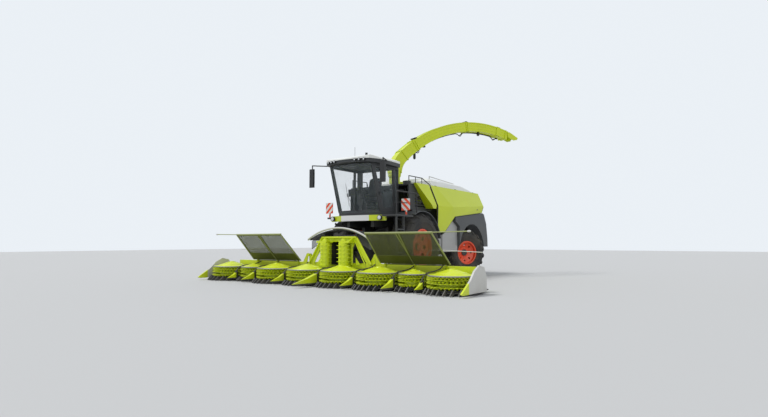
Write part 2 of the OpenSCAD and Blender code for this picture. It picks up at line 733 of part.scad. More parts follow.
module hand_rails() {
    r = 18;
    rail_y = -420;
    // Foot of the rear post on the round guard, clear of it at the post's higher edge
    foot = front_axle_z + sqrt(pow(guard_r + guard_t, 2) - pow(rail_y + r, 2)) + seat_gap;
    deck_top = deck_z + 30;
    color("black") place() {
        tube_path([[1500, -1490, platform_z + platform_t], [1500, -1490, 2600], [1500, rail_y, 2600],
                   [1500, rail_y, foot]], r);
        // Rail of the service deck, which runs down the front edge of the side panel to the tank
        both() tube_path([[1090, -200, deck_top], [1090, -200, 3190], [1090, 560, 3190], [1222, 825, 2992],
                          [1405, 1020, 2330], [1340, 1060, 1490], [1285, 1160, 1440], [1285, 1160, skirt_top]], 14);
        // Rail on the white cover
        both() tube_path([[700, 1700, cover_z(700, 1700) + 1], [700, 1700, cover_top_z + 90],
                          [700, 3440, cover_top_z], [700, 3440, cover_z(700, 3440) + 2.5]], 14);
    }
}

module mirrors() {
    arm_z = cab_top_z + 80;
    color("black") place() both() {
        tube_path([[930 + seat_gap, -1250, arm_z], [1010, -1250, arm_z], [1320, -1880, arm_z - 30],
                   [1320, -1880, arm_z - 420]], 16);
        block([1240, 1400], [-1925, -1865], [cab_top_z - 620, cab_top_z - 60]);
    }
}

module warning_boards() {
    color("red") place() both() {
        block([1310, 1590], [-950, -930], [2080, 2420]);
        block([1430, 1470], [-931, -900], [platform_z + platform_t, 2360]);
    }
}

module work_lamps() {
    z = cab_top_z;
    r = 28;
    color("gainsboro") place() {
        // Beacon and aerial
        translate([0, roof_crest, z + roof_h + seat_gap]) {
            cylinder(h = 40, r = 55);
            cylinder(h = 150, r = 38);
        }
        rod([-450, roof_crest, z + roof_h + seat_gap], [-450, roof_crest, z + roof_h + 370], 5);
        // Head lamps on the bowed front bar
        for (x = [-880, 880])
            translate([x, bar_y - sqrt(bar_r * bar_r - pow(abs(x) - 62, 2)) - seat_gap, (bar_bottom + bar_top) / 2])
                rotate([90, 0, 0]) cylinder(h = 60, r = 62);
        // Lamps on the bowed front of the visor
        for (x = [-660, -520, -380, 380, 520, 660])
            translate([x, visor_y - sqrt(visor_r * visor_r - pow(abs(x) - r, 2)) - seat_gap, z + 78])
                rotate([90, 0, 0]) cylinder(h = 45, r = r);
    }
}

module tow_hitch() {
    color("dimgray") place() {
        both() block([rail_gap / 2 - rail_w / 2, rail_gap / 2 + rail_w / 2], [rail_rear, rail_rear + 40], [700, rail_top]);
        block([-rail_gap / 2 - 50, rail_gap / 2 + 50], [rail_rear, rail_rear + 40], [700, 960]);
        difference() {
            for (z = [740, 860])
                translate([0, 0, z]) linear_extrude(30)
                    polygon([[-110, rail_rear + 39], [-70, rail_rear + 250], [70, rail_rear + 250], [110, rail_rear + 39]]);
            translate([0, rail_rear + 190, 700]) cylinder(h = 250, d = hitch_bore_d);
        }
    }
}

// Moves a spout piece from its own plane, [along, across, height], to its place
module spout_place() {
    place() translate([0, spout_y, 0]) rotate([0, 0, 90 - spout_turn]) children();
}

module spout_neck() {
    half = spout_w / 2 - 20;
    color("yellowgreen") spout_place() {
        translate([0, 0, turret_z + turret_h + seat_gap]) cylinder(h = 70, r = turret_r);
        block([neck_x - 125, neck_x + 125], [-half, half], [turret_z + turret_h + 20, spout_pivot_z]);
        translate([neck_x, 0, spout_pivot_z]) rotate([90, 0, 0]) {
            cylinder(h = half * 2, r = neck_r, center = true);
            cylinder(h = spout_w + 20, r = lift_pin, center = true);
        }
    }
}

elbow_c = [649.2469, 3447.0585];             // middle of the spout's elbow, which the long arc runs on from
back_c = elbow_c - (spout_back_r - elbow_r) * [-sin(long_start), cos(long_start)];
end_p = back_c + spout_back_r * [-sin(long_end), cos(long_end)];
elbow_depth = 370;

// Slopes at which the spout's outline is drawn, from the upright foot to the flap
spout_slopes = concat([for (a = [90 : -4 : long_start + 3]) a], [for (a = [long_start : -2 : long_end - 1]) max(a, long_end)]);

// Point of the spout at slope a, set in from its back by d
function spout_at(a, d) = a > long_start ? elbow_c + (elbow_r - d) * [-sin(a), cos(a)]
                                         : back_c + (spout_back_r - d) * [-sin(a), cos(a)];
function spout_depth_at(a) = a > long_start ? elbow_depth
    : spout_depth + (elbow_depth - spout_depth) * pow((a - long_end) / (long_start - long_end), 2);
function reversed(v) = [for (i = [len(v) - 1 : -1 : 0]) v[i]];

// A pin or bore across the spout, in its own plane
module across(at, w, r) { translate([at.x, 0, at.y]) rotate([90, 0, 0]) cylinder(h = w, r = r, center = true); }

// A side view of the spout, drawn as [along, height], made w wide about its plane
module spout_slab(points, w, y = 0) {
    translate([0, y + w / 2, 0]) rotate([90, 0, 0]) linear_extrude(w) polygon(points);
}

module spout_arm() {
    cheek = 16;
    lift_p = [neck_x, spout_pivot_z];
    along_back = [for (a = spout_slopes) if (a <= long_start) a];
    color("yellowgreen") spout_place() {
        difference() {
            union() {
                difference() {
                    spout_slab(concat([for (a = spout_slopes) spout_at(a, 0)],
                                      reversed([for (a = spout_slopes) spout_at(a, spout_depth_at(a))])), spout_w);
                    across(lift_p, spout_w + 2, neck_r + 6);
                }
                // Cheeks that hang on the neck
                for (side = [-1, 1]) translate([0, side * (spout_w - cheek) / 2, 0]) {
                    across(lift_p, cheek, 120);
                    block([neck_x - 115, neck_x + 115], [-cheek / 2, cheek / 2], [spout_pivot_z, spout_pivot_z + 260]);
                }
            }
            across(lift_p, spout_w + 2, lift_pin + seat_gap);
        }
        // Flanges along both edges of the back
        for (side = [-1, 1])
            spout_slab(concat([for (a = along_back) spout_at(a, -14)], reversed([for (a = along_back) spout_at(a, 26)])),
                       14, side * (spout_w / 2 + 6));
        across(flap_p, spout_w + 60, flap_pin_r);
    }
}

flap_p = end_p + 45 * [-sin(long_end + 90), cos(long_end + 90)] * 0.4 - [0, 60];

// Deflector at the end of the spout, hung on a pin through the end of the duct
module spout_flap() {
    flap_len = 450;
    color("yellowgreen") spout_place() translate([flap_p.x, 0, flap_p.y]) rotate([0, flap_slope, 0]) {
        translate([45, -spout_w / 2 - 26, 66]) cube([flap_len, spout_w + 52, 12]);
        for (side = [-1, 1]) translate([0, side * (spout_w / 2 + 20), 0]) rotate([90, 0, 0])
            translate([0, 0, -6]) linear_extrude(12) difference() {
                polygon([[-30, -30], [-30, 30], [45, 78], [flap_len + 45, 78], [flap_len + 45, 0],
                         [flap_len - 100, -110], [60, -130], [0, -60]]);
                circle(r = flap_pin_r + seat_gap);
            }
    }
}

// Outer skin of a side panel: [x, y, z] of its corners, and their shift to the inner skin
panel_points = [
    // upper edge, from the front
    [panel_hinge_x + 15 + seat_gap, 860, panel_hinge_z], [panel_hinge_x + 15 + seat_gap, 1150, panel_hinge_z],
    [panel_hinge_x + 15 + seat_gap, 4430, panel_hinge_z],
    // crease, from the rear
    [1450, 4400, 2500], [1470, 1950, 2330],
    // lower edge, from the rear
    [1390, 4370, 2250], [1430, 2150, 2020], [1350, 1580, 1500], [1335, 1130, 1500],
    // front edge
    [1400, 1055, 2330]];
panel_top_count = 3;
panel_rim = [0, 9, 8, 7, 6, 5, 3, 2, 1];
panel_skin = [[0, 1, 9], [1, 4, 9], [9, 4, 8], [8, 4, 7], [7, 4, 6], [1, 2, 4], [2, 3, 4], [4, 3, 6], [3, 5, 6]];

module side_panel() {
    n = len(panel_points);
    inner = [for (i = [0 : n - 1]) panel_points[i] + (i < panel_top_count ? [0, 0, -1.5 * panel_t] : [-panel_t, 0, 0])];
    m = len(panel_rim);
    polyhedron(
        points = concat(panel_points, inner),
        faces = concat(
            panel_skin,
            [for (f = panel_skin) [f[2] + n, f[1] + n, f[0] + n]],
            [for (i = [0 : m - 1]) let (a = panel_rim[i], b = panel_rim[(i + 1) % m]) [a, b, b + n]],
            [for (i = [0 : m - 1]) let (a = panel_rim[i], b = panel_rim[(i + 1) % m]) [a, b + n, a + n]]));
}

module side_panel_left() { color("yellowgreen") place() side_panel(); }
module side_panel_right() { color("yellowgreen") place() mirror([1, 0, 0]) side_panel(); }

// Feed channel between the header and the cutting drum, hung on the lift pin
module feeder_housing() {
    w = 340;
    color("slategray") place() {
        difference() {
            slab([[beam_y, 480], [beam_y, 1230], [-1500, 1380], [-700, 1400], [-640, 1150], [-640, 640],
                  [-1500, 560]], w * 2);
            slab([[beam_y - cut, 530], [beam_y - cut, 1180], [-1800, 1200], [-1800, 560]], w * 2 - 60);
        }
        both() difference() {
            union() {
                slab([[-760, 1020], [-760, 1280], [lift_y - 20, 1240], [lift_y - 20, 1060]], 22, chopper_half_w + 16);
                bar_x([chopper_half_w + 5, chopper_half_w + 27], lift_y, lift_z, 85);
                block([w - 10, chopper_half_w + 20], [-760, -650], [1020, 1280]);
            }
            bar_x([chopper_half_w + 1, chopper_half_w + 40], lift_y, lift_z, lift_pin_r + seat_gap);
        }
    }
}

// Green frame around the intake with the carriers of the two upright drums
module header_frame() {
    front = beam_y - 30;
    color("yellowgreen") place() {
        difference() {
            plate([[-1150, 450], [-1150, 540], [-640, 1300], [640, 1300], [1150, 540], [1150, 450]], beam_y, 30);
            plate([[-310, 530], [-310, 1180], [310, 1180], [310, 530]], beam_y + cut, 32);
            both() plate([[480, 560], [480, 1000], [560, 1160], [960, 600], [960, 560]], beam_y + cut, 32);
        }
        both() {
            block([240, 600], [-2460, front + cut], [1150, 1180]);
            slab([[front + cut, 1179], [front + cut, 1300], [-2400, 1179]], 30, 500);
        }
    }
}

// Divider between two rotors: side view and plan meet in a point
module divider(x, w, tail, tip, h) {
    intersection() {
        slab([[-tail, floor_z], [-tail, h], [-tail - (tip - tail) * 0.45, h * 0.62], [-tip, floor_z + 45],
              [-tip, floor_z + 12], [-tip + 80, floor_z]], w, x);
        translate([x, 0, 0]) linear_extrude(h + 10)
            polygon([[-w / 2, -tail], [-w / 2, -tail - (tip - tail) * 0.3], [-7, -tip], [7, -tip],
                     [w / 2, -tail - (tip - tail) * 0.3], [w / 2, -tail]]);
    }
}

divider_tail = 3060;

// Foot that joins a divider to the floor below the knives
module foot(x, half) { block([x - half, x + half], [-divider_tail - 1, -2650], [floor_z, rotor_bottom + 4]); }

// Floor plan under rotors at xs with radii rs: round plates with guard fingers, joined at the rear
module floor_plan(xs, rs) {
    for (k = [0 : len(xs) - 1]) translate([xs[k], -rotor_y]) {
        circle(r = rs[k] - 15, $fn = 96);
        for (a = [218 : 13 : 322]) rotate(a)
            polygon([[rs[k] - 40, -26], [rs[k] + 30, -20], [rs[k] + 95, 0], [rs[k] + 30, 20], [rs[k] - 40, 26]]);
    }
    lo = min(xs) - rs[0] * 0.9;
    translate([lo, -rotor_y]) square([max(xs) + rs[len(rs) - 1] * 0.9 - lo, rotor_y + beam_y + beam_d]);
}

module spindle(x) { translate([x, -rotor_y, floor_z + floor_t - 5]) cylinder(h = rotor_bottom - seat_gap - floor_z - floor_t + 5, r = 120); }

module skid(x) {
    slab([[-2760, floor_z + 1], [-2640, 0], [-2100, 0], [-2040, floor_z + 1]], 140, x);
}

module header_floor() {
    edge = fold_line - fold_gap;
    color("darkslategray") place() {
        translate([0, 0, floor_z]) linear_extrude(floor_t) intersection() {
            floor_plan([-rotor_xs[0], rotor_xs[0]], [big_rotor_r, big_rotor_r]);
            translate([-edge, -4200]) square([edge * 2, 2400]);
        }
        for (x = [-1, 1]) { spindle(x * rotor_xs[0]); skid(x * 800); }
        difference() {
            block([-edge, edge], [beam_y, beam_y + beam_d], [beam_bottom, beam_top]);
            block([-345, 345], [beam_y - cut, beam_y + beam_d + cut], [470, beam_top + cut]);
        }
        block([-edge, edge], [beam_y + beam_d - 30, beam_y + beam_d], [floor_z, beam_bottom + 1]);
        both() {
            plate([[edge - 160, beam_top], [edge - 160, beam_top + 60], [edge - 35, fold_z + 35], [edge - 5, fold_z + 35],
                   [edge - 5, beam_top]], beam_y + 100, 60);
            translate([fold_line, beam_y + 105, fold_z]) rotate([90, 0, 0]) cylinder(h = 105, r = 22);
            block([edge - 20, fold_line], [beam_y + 40, beam_y + 100], [fold_z - 15, fold_z + 15]);
        }
        divider(0, 120, divider_tail, long_tip, 360);
        foot(0, 75);
        both() {
            divider(fold_line, 80, divider_tail, short_tip, 330);
            foot(edge - 25, 25);
        }
    }
}

// Dark louvred hood over the intake with the pale hoop ahead of it
module intake_hood() {
    hood_r = 2300;
    color("dimgray") place() {
        intersection() {
            translate([0, -1700, 1530 - hood_r]) rotate([90, 0, 0]) difference() {
                cylinder(h = 500, r = hood_r, $fn = 160);
                translate([0, 0, -cut]) cylinder(h = 502, r = hood_r - 25, $fn = 160);
            }
            block([-1100, 1100], [-2230, -1690], [900, 1700]);
        }
        both() {
            block([560, 620], [beam_y, -1760], [1240, 1440]);
            block([1050, 1090], [-2245, -2190], [1238, 1276]);
        }
        intersection() {
            translate([0, -2240, 1570 - 2100]) rotate([90, 0, 0]) rotate_extrude($fn = 160) translate([2100, 0])
                circle(r = 26, $fn = 16);
            block([-1120, 1120], [-2300, -2180], [1000, 1700]);
        }
    }
}

module intake_drum(x) {
    color("yellowgreen") place() translate([x, -2370, 0]) {
        translate([0, 0, 490]) cylinder(h = 1150 - seat_gap - 490, r = 140);
        for (z = [520 : 110 : 1100]) translate([0, 0, z]) linear_extrude(14) polygon(
            [for (i = [0 : 15]) let (r = i % 2 == 0 ? 190 : 135, a = i * 22.5) [r * cos(a), r * sin(a)]]);
    }
}

module intake_drum_left() { intake_drum(335); }
module intake_drum_right() { intake_drum(-335); }

// A rotor: hub, knife disc below, three rings of teeth and a low cone on top
module rotor(x, r, teeth) {
    color("yellowgreen") place() translate([x, -rotor_y, 0]) {
        translate([0, 0, rotor_bottom]) cylinder(h = rotor_top_z - rotor_bottom - 15, r = r * 0.62);
        translate([0, 0, rotor_bottom + 10]) cylinder(h = 8, r = r - 6, $fn = 96);
        for (z = [165, 245, 325]) translate([0, 0, z]) linear_extrude(16) polygon(
            [for (i = [0 : teeth * 2 - 1]) let (a = i * 180 / teeth, q = i % 2 == 0 ? r : r - 70) [q * cos(a), q * sin(a)]]);
        translate([0, 0, rotor_top_z - 30]) cylinder(h = 30, r = r * 0.93, $fn = 96);
        translate([0, 0, rotor_top_z - 1]) cylinder(h = r * 0.19, r1 = r * 0.78, r2 = r * 0.2, $fn = 96);
    }
}

module rotor_1() { rotor(-rotor_xs[3], big_rotor_r, big_teeth); }
module rotor_2() { rotor(-rotor_xs[2], small_rotor_r, small_teeth); }
module rotor_3() { rotor(-rotor_xs[1], big_rotor_r, big_teeth); }
module rotor_4() { rotor(-rotor_xs[0], big_rotor_r, big_teeth); }
module rotor_5() { rotor(rotor_xs[0], big_rotor_r, big_teeth); }
module rotor_6() { rotor(rotor_xs[1], big_rotor_r, big_teeth); }
module rotor_7() { rotor(rotor_xs[2], small_rotor_r, small_teeth); }
module rotor_8() { rotor(rotor_xs[3], big_rotor_r, big_teeth); }

// Folding wing of the header, on the driver's left
module wing_shape() {
    edge = fold_line + fold_gap;
    boundary = rotor_xs[1] + big_rotor_r + rotor_gap / 2;
    outer = rotor_xs[2] + small_rotor_r + rotor_gap / 2;
    translate([0, 0, floor_z]) linear_extrude(floor_t) intersection() {
        floor_plan([rotor_xs[1], rotor_xs[2], rotor_xs[3]], [big_rotor_r, small_rotor_r, big_rotor_r]);
        translate([edge, -4200]) square([header_half_w - edge, 2400]);
    }
    for (i = [1 : 3]) spindle(rotor_xs[i]);
    for (x = [1700, 3600]) skid(x);
    block([edge + 25, header_half_w - 170], [beam_y, beam_y + beam_d], [beam_bottom, beam_top]);
    block([edge + 25, header_half_w - 170], [beam_y + beam_d - 30, beam_y + beam_d], [floor_z, beam_bottom + 1]);
    // Hinge eye of the fold
    difference() {
        union() {
            plate([[edge + 40, beam_top - 10], [edge - 8, fold_z - 20], [edge - 8, fold_z + 40], [edge + 40, fold_z + 40],
                   [edge + 190, beam_top - 10]], beam_y + 28, 26);
            translate([fold_line, beam_y + 28, fold_z]) rotate([90, 0, 0]) cylinder(h = 26, r = 45);
        }
        translate([fold_line, beam_y + 30, fold_z]) rotate([90, 0, 0]) cylinder(h = 30, r = 22 + seat_gap);
    }
    // Brackets of the crop shield
    for (x = [1600, 2500, 3400]) difference() {
        union() {
            slab([[beam_y + 1, 470], [beam_y + 1, beam_top - 1], [shield_y + 8, shield_z + 20],
                  [shield_y - 18, shield_z - 12]], 30, x);
            bar_x([x - 15, x + 15], shield_y, shield_z, 22);
        }
        bar_x([x - 20, x + 20], shield_y, shield_z, shield_pin_r + seat_gap);
    }
    divider(boundary, 80, divider_tail, short_tip, 330);
    foot(boundary, 50);
    divider(outer, 80, divider_tail, short_tip - 150, 300);
    foot(outer, 35);
    // End shield
    slab([[-short_tip, floor_z + 30], [-3150, 350], [-2950, 540], [-2700, 660], [-2450, 610], [-2330, 400],
          [-2330, floor_z], [-short_tip + 60, floor_z]], end_t, header_half_w + end_t / 2 - 5);
    block([header_half_w - 80, header_half_w], [-rotor_y, -2340], [floor_z, floor_z + floor_t]);
}

module wing_left() { color("darkslategray") place() wing_shape(); }
module wing_right() { color("darkslategray") place() mirror([1, 0, 0]) wing_shape(); }

// Sloping shield behind the rotors of a wing, a sheet below and windows for mesh above
sheet_h = 330;
shield_windows = [[1490, 2470], [2510, 3490]];   // from x to x

module shield_shape() {
    inner_x = 1450;
    outer_x = 3550;
    color("darkolivegreen") place() {
        translate([0, shield_y, shield_z]) rotate([45, 0, 0]) {
            rotate([90, 0, 0]) translate([0, 0, -6]) linear_extrude(12) difference() {
                polygon([[inner_x, 30], [inner_x + 60, shield_len], [outer_x - 80, shield_len], [outer_x, 30]]);
                for (w = shield_windows) polygon([[w[0] + 20, sheet_h], [w[0] + 45, shield_len - 50],
                                                  [w[1] - 45, shield_len - 50], [w[1] - 20, sheet_h]]);
            }
            translate([inner_x + 60, 0, shield_len]) rotate([0, 90, 0]) cylinder(h = outer_x - inner_x - 140, r = 22);
            rod([outer_x - 90, 0, shield_len], [4430, 0, shield_len + 20], 12);
        }
        bar_x([1560, 3440], shield_y, shield_z, shield_pin_r);
        for (x = [1700, 2400, 3300]) translate([x, shield_y, shield_z]) rotate([45, 0, 0])
            block([0, 40], [-6, 6], [0, 60]);
    }
}

module crop_shield_left() { shield_shape(); }
module crop_shield_right() { mirror([1, 0, 0]) shield_shape(); }

main_frame();
front_axle();
rear_axle();
engine_block();
chopper_housing();
engine_bay();
top_cover();
rear_cowl();
service_deck();
corner_panels();
fenders();
side_skirts();
platform();
light_bar();
cab_frame();
cab_glass();
cab_roof();
roof_visor();
operator_seat();
steering_console();
hand_rails();
mirrors();
warning_boards();
work_lamps();
tow_hitch();
tyre_front_left();
tyre_front_right();
tyre_rear_left();
tyre_rear_right();
rim_front_left();
rim_front_right();
rim_rear_left();
rim_rear_right();
knuckle_left();
knuckle_right();
spout_neck();
spout_arm();
spout_flap();
cab_door();
cab_door_glass();
side_panel_left();
side_panel_right();
feeder_housing();
header_frame();
header_floor();
intake_hood();
intake_drum_left();
intake_drum_right();
rotor_1();
rotor_2();
rotor_3();
rotor_4();
rotor_5();
rotor_6();
rotor_7();
rotor_8();
wing_left();
wing_right();
crop_shield_left();
crop_shield_right();
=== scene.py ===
import logging
import math
from dataclasses import dataclass
from enum import Enum
from typing import Sequence

import bmesh
import bpy
import numpy as np
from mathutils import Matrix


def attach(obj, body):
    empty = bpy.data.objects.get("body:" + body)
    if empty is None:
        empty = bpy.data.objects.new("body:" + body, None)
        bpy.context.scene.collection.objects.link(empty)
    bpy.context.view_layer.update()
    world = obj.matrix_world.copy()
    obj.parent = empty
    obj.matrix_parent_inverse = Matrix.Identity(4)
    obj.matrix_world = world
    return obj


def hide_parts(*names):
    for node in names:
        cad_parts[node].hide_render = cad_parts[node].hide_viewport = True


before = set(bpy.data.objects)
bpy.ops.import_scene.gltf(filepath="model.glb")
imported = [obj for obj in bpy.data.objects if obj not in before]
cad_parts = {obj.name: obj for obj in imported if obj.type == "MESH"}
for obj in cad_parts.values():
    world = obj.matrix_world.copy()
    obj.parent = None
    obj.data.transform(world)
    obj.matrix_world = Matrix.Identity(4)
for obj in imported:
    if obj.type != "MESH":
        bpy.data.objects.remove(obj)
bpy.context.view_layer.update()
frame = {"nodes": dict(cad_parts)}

LOG = logging.getLogger("harvester")
Y_SHIFT = -0.83099          # from the front axle to the frame's origin
Colour = tuple[float, float, float]
Point = tuple[float, float, float]
Span = tuple[float, float]
OPEN: Span = (-99.0, 99.0)  # a span without limits
FAR = 9.0                   # metres, past every piece of the machine
ACROSS: Point = (1, 0, 0)   # to the driver's left
ALONG: Point = (0, 1, 0)    # to the rear
FORWARD: Point = (0, -1, 0)
UP: Point = (0, 0, 1)
SIDES = ((1, "left"), (-1, "right"))
SLANT = math.sqrt(0.5)      # sine and cosine of a shield's slope of 45 degrees

# Places in metres at which a piece changes colour
KNIFE_TOP = 0.125                   # dark knives of a rotor end, lime rings start
FLOOR_TOP = 0.105                   # dark floor plates end, lime pieces of the header start
ROTOR_SPAN: Span = (-3.13 + Y_SHIFT,
                    -2.36 + Y_SHIFT)  # pieces of the header along the rotors are dark
END_SHIELD_X = 4.470                # inner wall of the pale end shields
END_NOSE_Y = -3.24 + Y_SHIFT        # lime nose of an end shield starts ahead of this
SHIELD_HEAD_Z = 1.372               # a crop shield is paler above this, over its windows
HOOP_Y = -2.216 + Y_SHIFT           # rear edge of the pale hoop ahead of the hood
COVER_RAIL_Y = 1.5 + Y_SHIFT        # the pale rail on the cover starts behind this
COVER_RAIL_Z = 3.2
BAR_WHITE_X = 0.52                  # half width of the light bar's white middle
ROOF_EDGE_Z = 3.74                  # what stands on the roof is dark


class Shade(Enum):
    """Base colours of the machine's finishes, linear."""

    LIME = (0.600, 0.700, 0.007)
    WHITE = (0.790, 0.795, 0.770)
    RED = (0.860, 0.075, 0.012)
    PALE = (0.560, 0.555, 0.525)
    DARK = (0.030, 0.032, 0.034)
    GREY = (0.075, 0.080, 0.085)
    SILVER = (0.400, 0.400, 0.390)
    BLACK = (0.012, 0.012, 0.013)
    RUBBER = (0.020, 0.020, 0.021)
    OLIVE = (0.085, 0.098, 0.016)
    MOSS = (0.300, 0.330, 0.130)
    DUST = (0.330, 0.280, 0.200)
    IRON = (0.090, 0.088, 0.085)


def rgba(colour: Colour) -> tuple[float, float, float, float]:
    """The colour with full alpha."""
    return (*colour, 1.0)


class NodeSheet:
    """Shorthand for placing and linking shader nodes in one tree."""

    def __init__(self, tree: bpy.types.NodeTree) -> None:
        """Keeps the tree.

        Args:
            tree: the material's or the group's node tree.
        """
        self.tree = tree

    def add(self, kind: str, **values: object) -> bpy.types.Node:
        """Adds a node and sets its properties.

        Args:
            kind: the node's type, without the leading ShaderNode.
            values: properties of the node.
        Returns:
            The new node.
        """
        node = self.tree.nodes.new("ShaderNode" + kind)
        for name, value in values.items():
            setattr(node, name, value)
        return node

    def link(self, source: bpy.types.NodeSocket, target: bpy.types.NodeSocket) -> None:
        """Joins an output to an input."""
        self.tree.links.new(source, target)

    def math(self, operation: str, a: object, b: object = 0.0, clamp: bool = False) -> bpy.types.NodeSocket:
        """Adds a Math node.

        Args:
            operation: the node's operation.
            a: first value or socket.
            b: second value or socket.
            clamp: whether the result stays between 0 and 1.
        Returns:
            The result's socket.
        """
        node = self.add("Math", operation=operation, use_clamp=clamp)
        for i, value in enumerate((a, b)):
            if isinstance(value, (int, float)):
                node.inputs[i].default_value = float(value)
            else:
                self.link(value, node.inputs[i])
        return node.outputs[0]

    def ramp(self, value: bpy.types.NodeSocket, low: float, high: float) -> bpy.types.NodeSocket:
        """Maps a value from low..high to 0..1, smoothly.

        Args:
            value: the socket to map.
            low: the value that gives 0.
            high: the value that gives 1.
        Returns:
            The mapped socket.
        """
        node = self.add("MapRange", interpolation_type="SMOOTHSTEP")
        self.link(value, node.inputs["Value"])
        node.inputs["From Min"].default_value = low
        node.inputs["From Max"].default_value = high
        return node.outputs["Result"]

    def mix(self, factor: object, a: object, b: object) -> bpy.types.NodeSocket:
        """Mixes two colours.

        Args:
            factor: value or socket, 0 for a and 1 for b.
            a: first colour or socket.
            b: second colour or socket.
        Returns:
            The mixed colour's socket.
        """
        node = self.add("Mix", data_type="RGBA")
        for name, value in (("Factor", factor), ("A", a), ("B", b)):
            index = {"Factor": 0, "A": 6, "B": 7}[name]
            if isinstance(value, (int, float)):
                node.inputs[index].default_value = float(value)
            elif isinstance(value, tuple):
                node.inputs[index].default_value = rgba(value) if len(value) == 3 else value
            else:
                self.link(value, node.inputs[index])
        return node.outputs[2]

    def place(self) -> bpy.types.NodeSocket:
        """The point's place on the object."""
        return self.add("TexCoord").outputs["Object"]

    def axes(self) -> bpy.types.Node:
        """Splits the point's place on the object.

        Returns:
            The node whose outputs are X, Y and Z.
        """
        node = self.add("SeparateXYZ")
        self.link(self.place(), node.inputs[0])
        return node

    def noise(self, coords: bpy.types.NodeSocket, scale: float, detail: float = 3.0,
              stretch: Point = (1.0, 1.0, 1.0)) -> bpy.types.NodeSocket:
        """Noise over the piece.

        Args:
            coords: the coordinates' socket.
            scale: cells per metre.
            detail: octaves.
            stretch: factor on each axis before the noise.
        Returns:
            The noise value's socket.
        """
        mapping = self.add("Mapping")
        mapping.inputs["Scale"].default_value = stretch
        self.link(coords, mapping.inputs["Vector"])
        node = self.add("TexNoise")
        node.inputs["Scale"].default_value = scale
        node.inputs["Detail"].default_value = detail
        self.link(mapping.outputs[0], node.inputs["Vector"])
        return node.outputs["Fac"]


class Effects:
    """Shader node groups that several finishes share, each built once."""

    def __init__(self) -> None:
        """Builds the groups."""
        self.dust = self._dust_group()
        self.grain = self._grain_group()
        self.scuffs = self._scuff_group()

    @staticmethod
    def _new(name: str, inputs: Sequence[tuple[str, str, object]], outputs: Sequence[tuple[str, str]]
             ) -> tuple[bpy.types.NodeTree, NodeSheet, bpy.types.Node, bpy.types.Node]:
        """An empty group with its sockets.

        Args:
            name: the group's name.
            inputs: name, kind and default of each input.
            outputs: name and kind of each output.
        Returns:
            The tree, its sheet, its input node and its output node.
        """
        tree = bpy.data.node_groups.new(name, "ShaderNodeTree")
        for title, kind, default in inputs:
            socket = tree.interface.new_socket(name=title, in_out="INPUT", socket_type="NodeSocket" + kind)
            socket.default_value = default
        for title, kind in outputs:
            tree.interface.new_socket(name=title, in_out="OUTPUT", socket_type="NodeSocket" + kind)
        sheet = NodeSheet(tree)
        return tree, sheet, tree.nodes.new("NodeGroupInput"), tree.nodes.new("NodeGroupOutput")

    def _dust_group(self) -> bpy.types.NodeTree:
        """Dust that lies thicker near the ground: mask = (1 - height / reach) x broken noise x amount."""
        tree, s, inp, out = self._new(
            "field_dust",
            [("Paint", "Color", rgba(Shade.LIME.value)), ("Dust", "Color", rgba(Shade.DUST.value)),
             ("Amount", "Float", 0.4), ("Reach", "Float", 2.0), ("Gloss", "Float", 0.35)],
            [("Colour", "Color"), ("Roughness", "Float")])
        coords, xyz = s.place(), s.axes()
        low = s.math("SUBTRACT", 1.0, s.math("DIVIDE", xyz.outputs["Z"], inp.outputs["Reach"]), clamp=True)
        cloud = s.ramp(s.noise(coords, 2.3, 6.0), 0.36, 0.72)
        speck = s.ramp(s.noise(coords, 38.0, 4.0), 0.45, 0.75)
        mask = s.math("MULTIPLY",
                      s.math("ADD", s.math("MULTIPLY", cloud, 0.7), s.math("MULTIPLY", speck, 0.5)), low)
        mask = s.math("MULTIPLY", mask, inp.outputs["Amount"], clamp=True)
        tone = s.math("ADD", 0.93, s.math("MULTIPLY", s.noise(coords, 1.1, 2.0), 0.14))
        shaded = s.add("VectorMath", operation="SCALE")
        s.link(inp.outputs["Paint"], shaded.inputs[0])
        s.link(tone, shaded.inputs["Scale"])
        s.link(s.mix(mask, shaded.outputs[0], inp.outputs["Dust"]), out.inputs["Colour"])
        rough = s.math("ADD", inp.outputs["Gloss"], s.math("MULTIPLY", mask, 0.45), clamp=True)
        s.link(s.math("ADD", rough, s.math("MULTIPLY", s.noise(coords, 9.0, 3.0), 0.08), clamp=True),
               out.inputs["Roughness"])
        return tree

    def _grain_group(self) -> bpy.types.NodeTree:
        """Fine grain of paint, plastic or cast metal: a height from two octaves of noise."""
        tree, s, inp, out = self._new("surface_grain", [("Size", "Float", 90.0), ("Coarse", "Float", 0.3)],
                                      [("Height", "Float")])
        coords = s.place()
        fine = s.add("TexNoise")
        s.link(coords, fine.inputs["Vector"])
        s.link(inp.outputs["Size"], fine.inputs["Scale"])
        broad = s.noise(coords, 6.0, 2.0)
        s.link(s.math("ADD", fine.outputs["Fac"], s.math("MULTIPLY", broad, inp.outputs["Coarse"])),
               out.inputs["Height"])
        return tree

    def _scuff_group(self) -> bpy.types.NodeTree:
        """Scratches and rubbed spots: thin stretched noise where a broad noise is high."""
        tree, s, inp, out = self._new("scuffs", [("Amount", "Float", 0.5)], [("Mask", "Float")])
        coords = s.place()
        thin = s.ramp(s.noise(coords, 30.0, 5.0, (1.0, 0.12, 1.0)), 0.60, 0.68)
        spots = s.ramp(s.noise(coords, 5.0, 4.0), 0.50, 0.66)
        s.link(s.math("MULTIPLY", s.math("MULTIPLY", thin, spots), inp.outputs["Amount"], clamp=True),
               out.inputs["Mask"])
        return tree


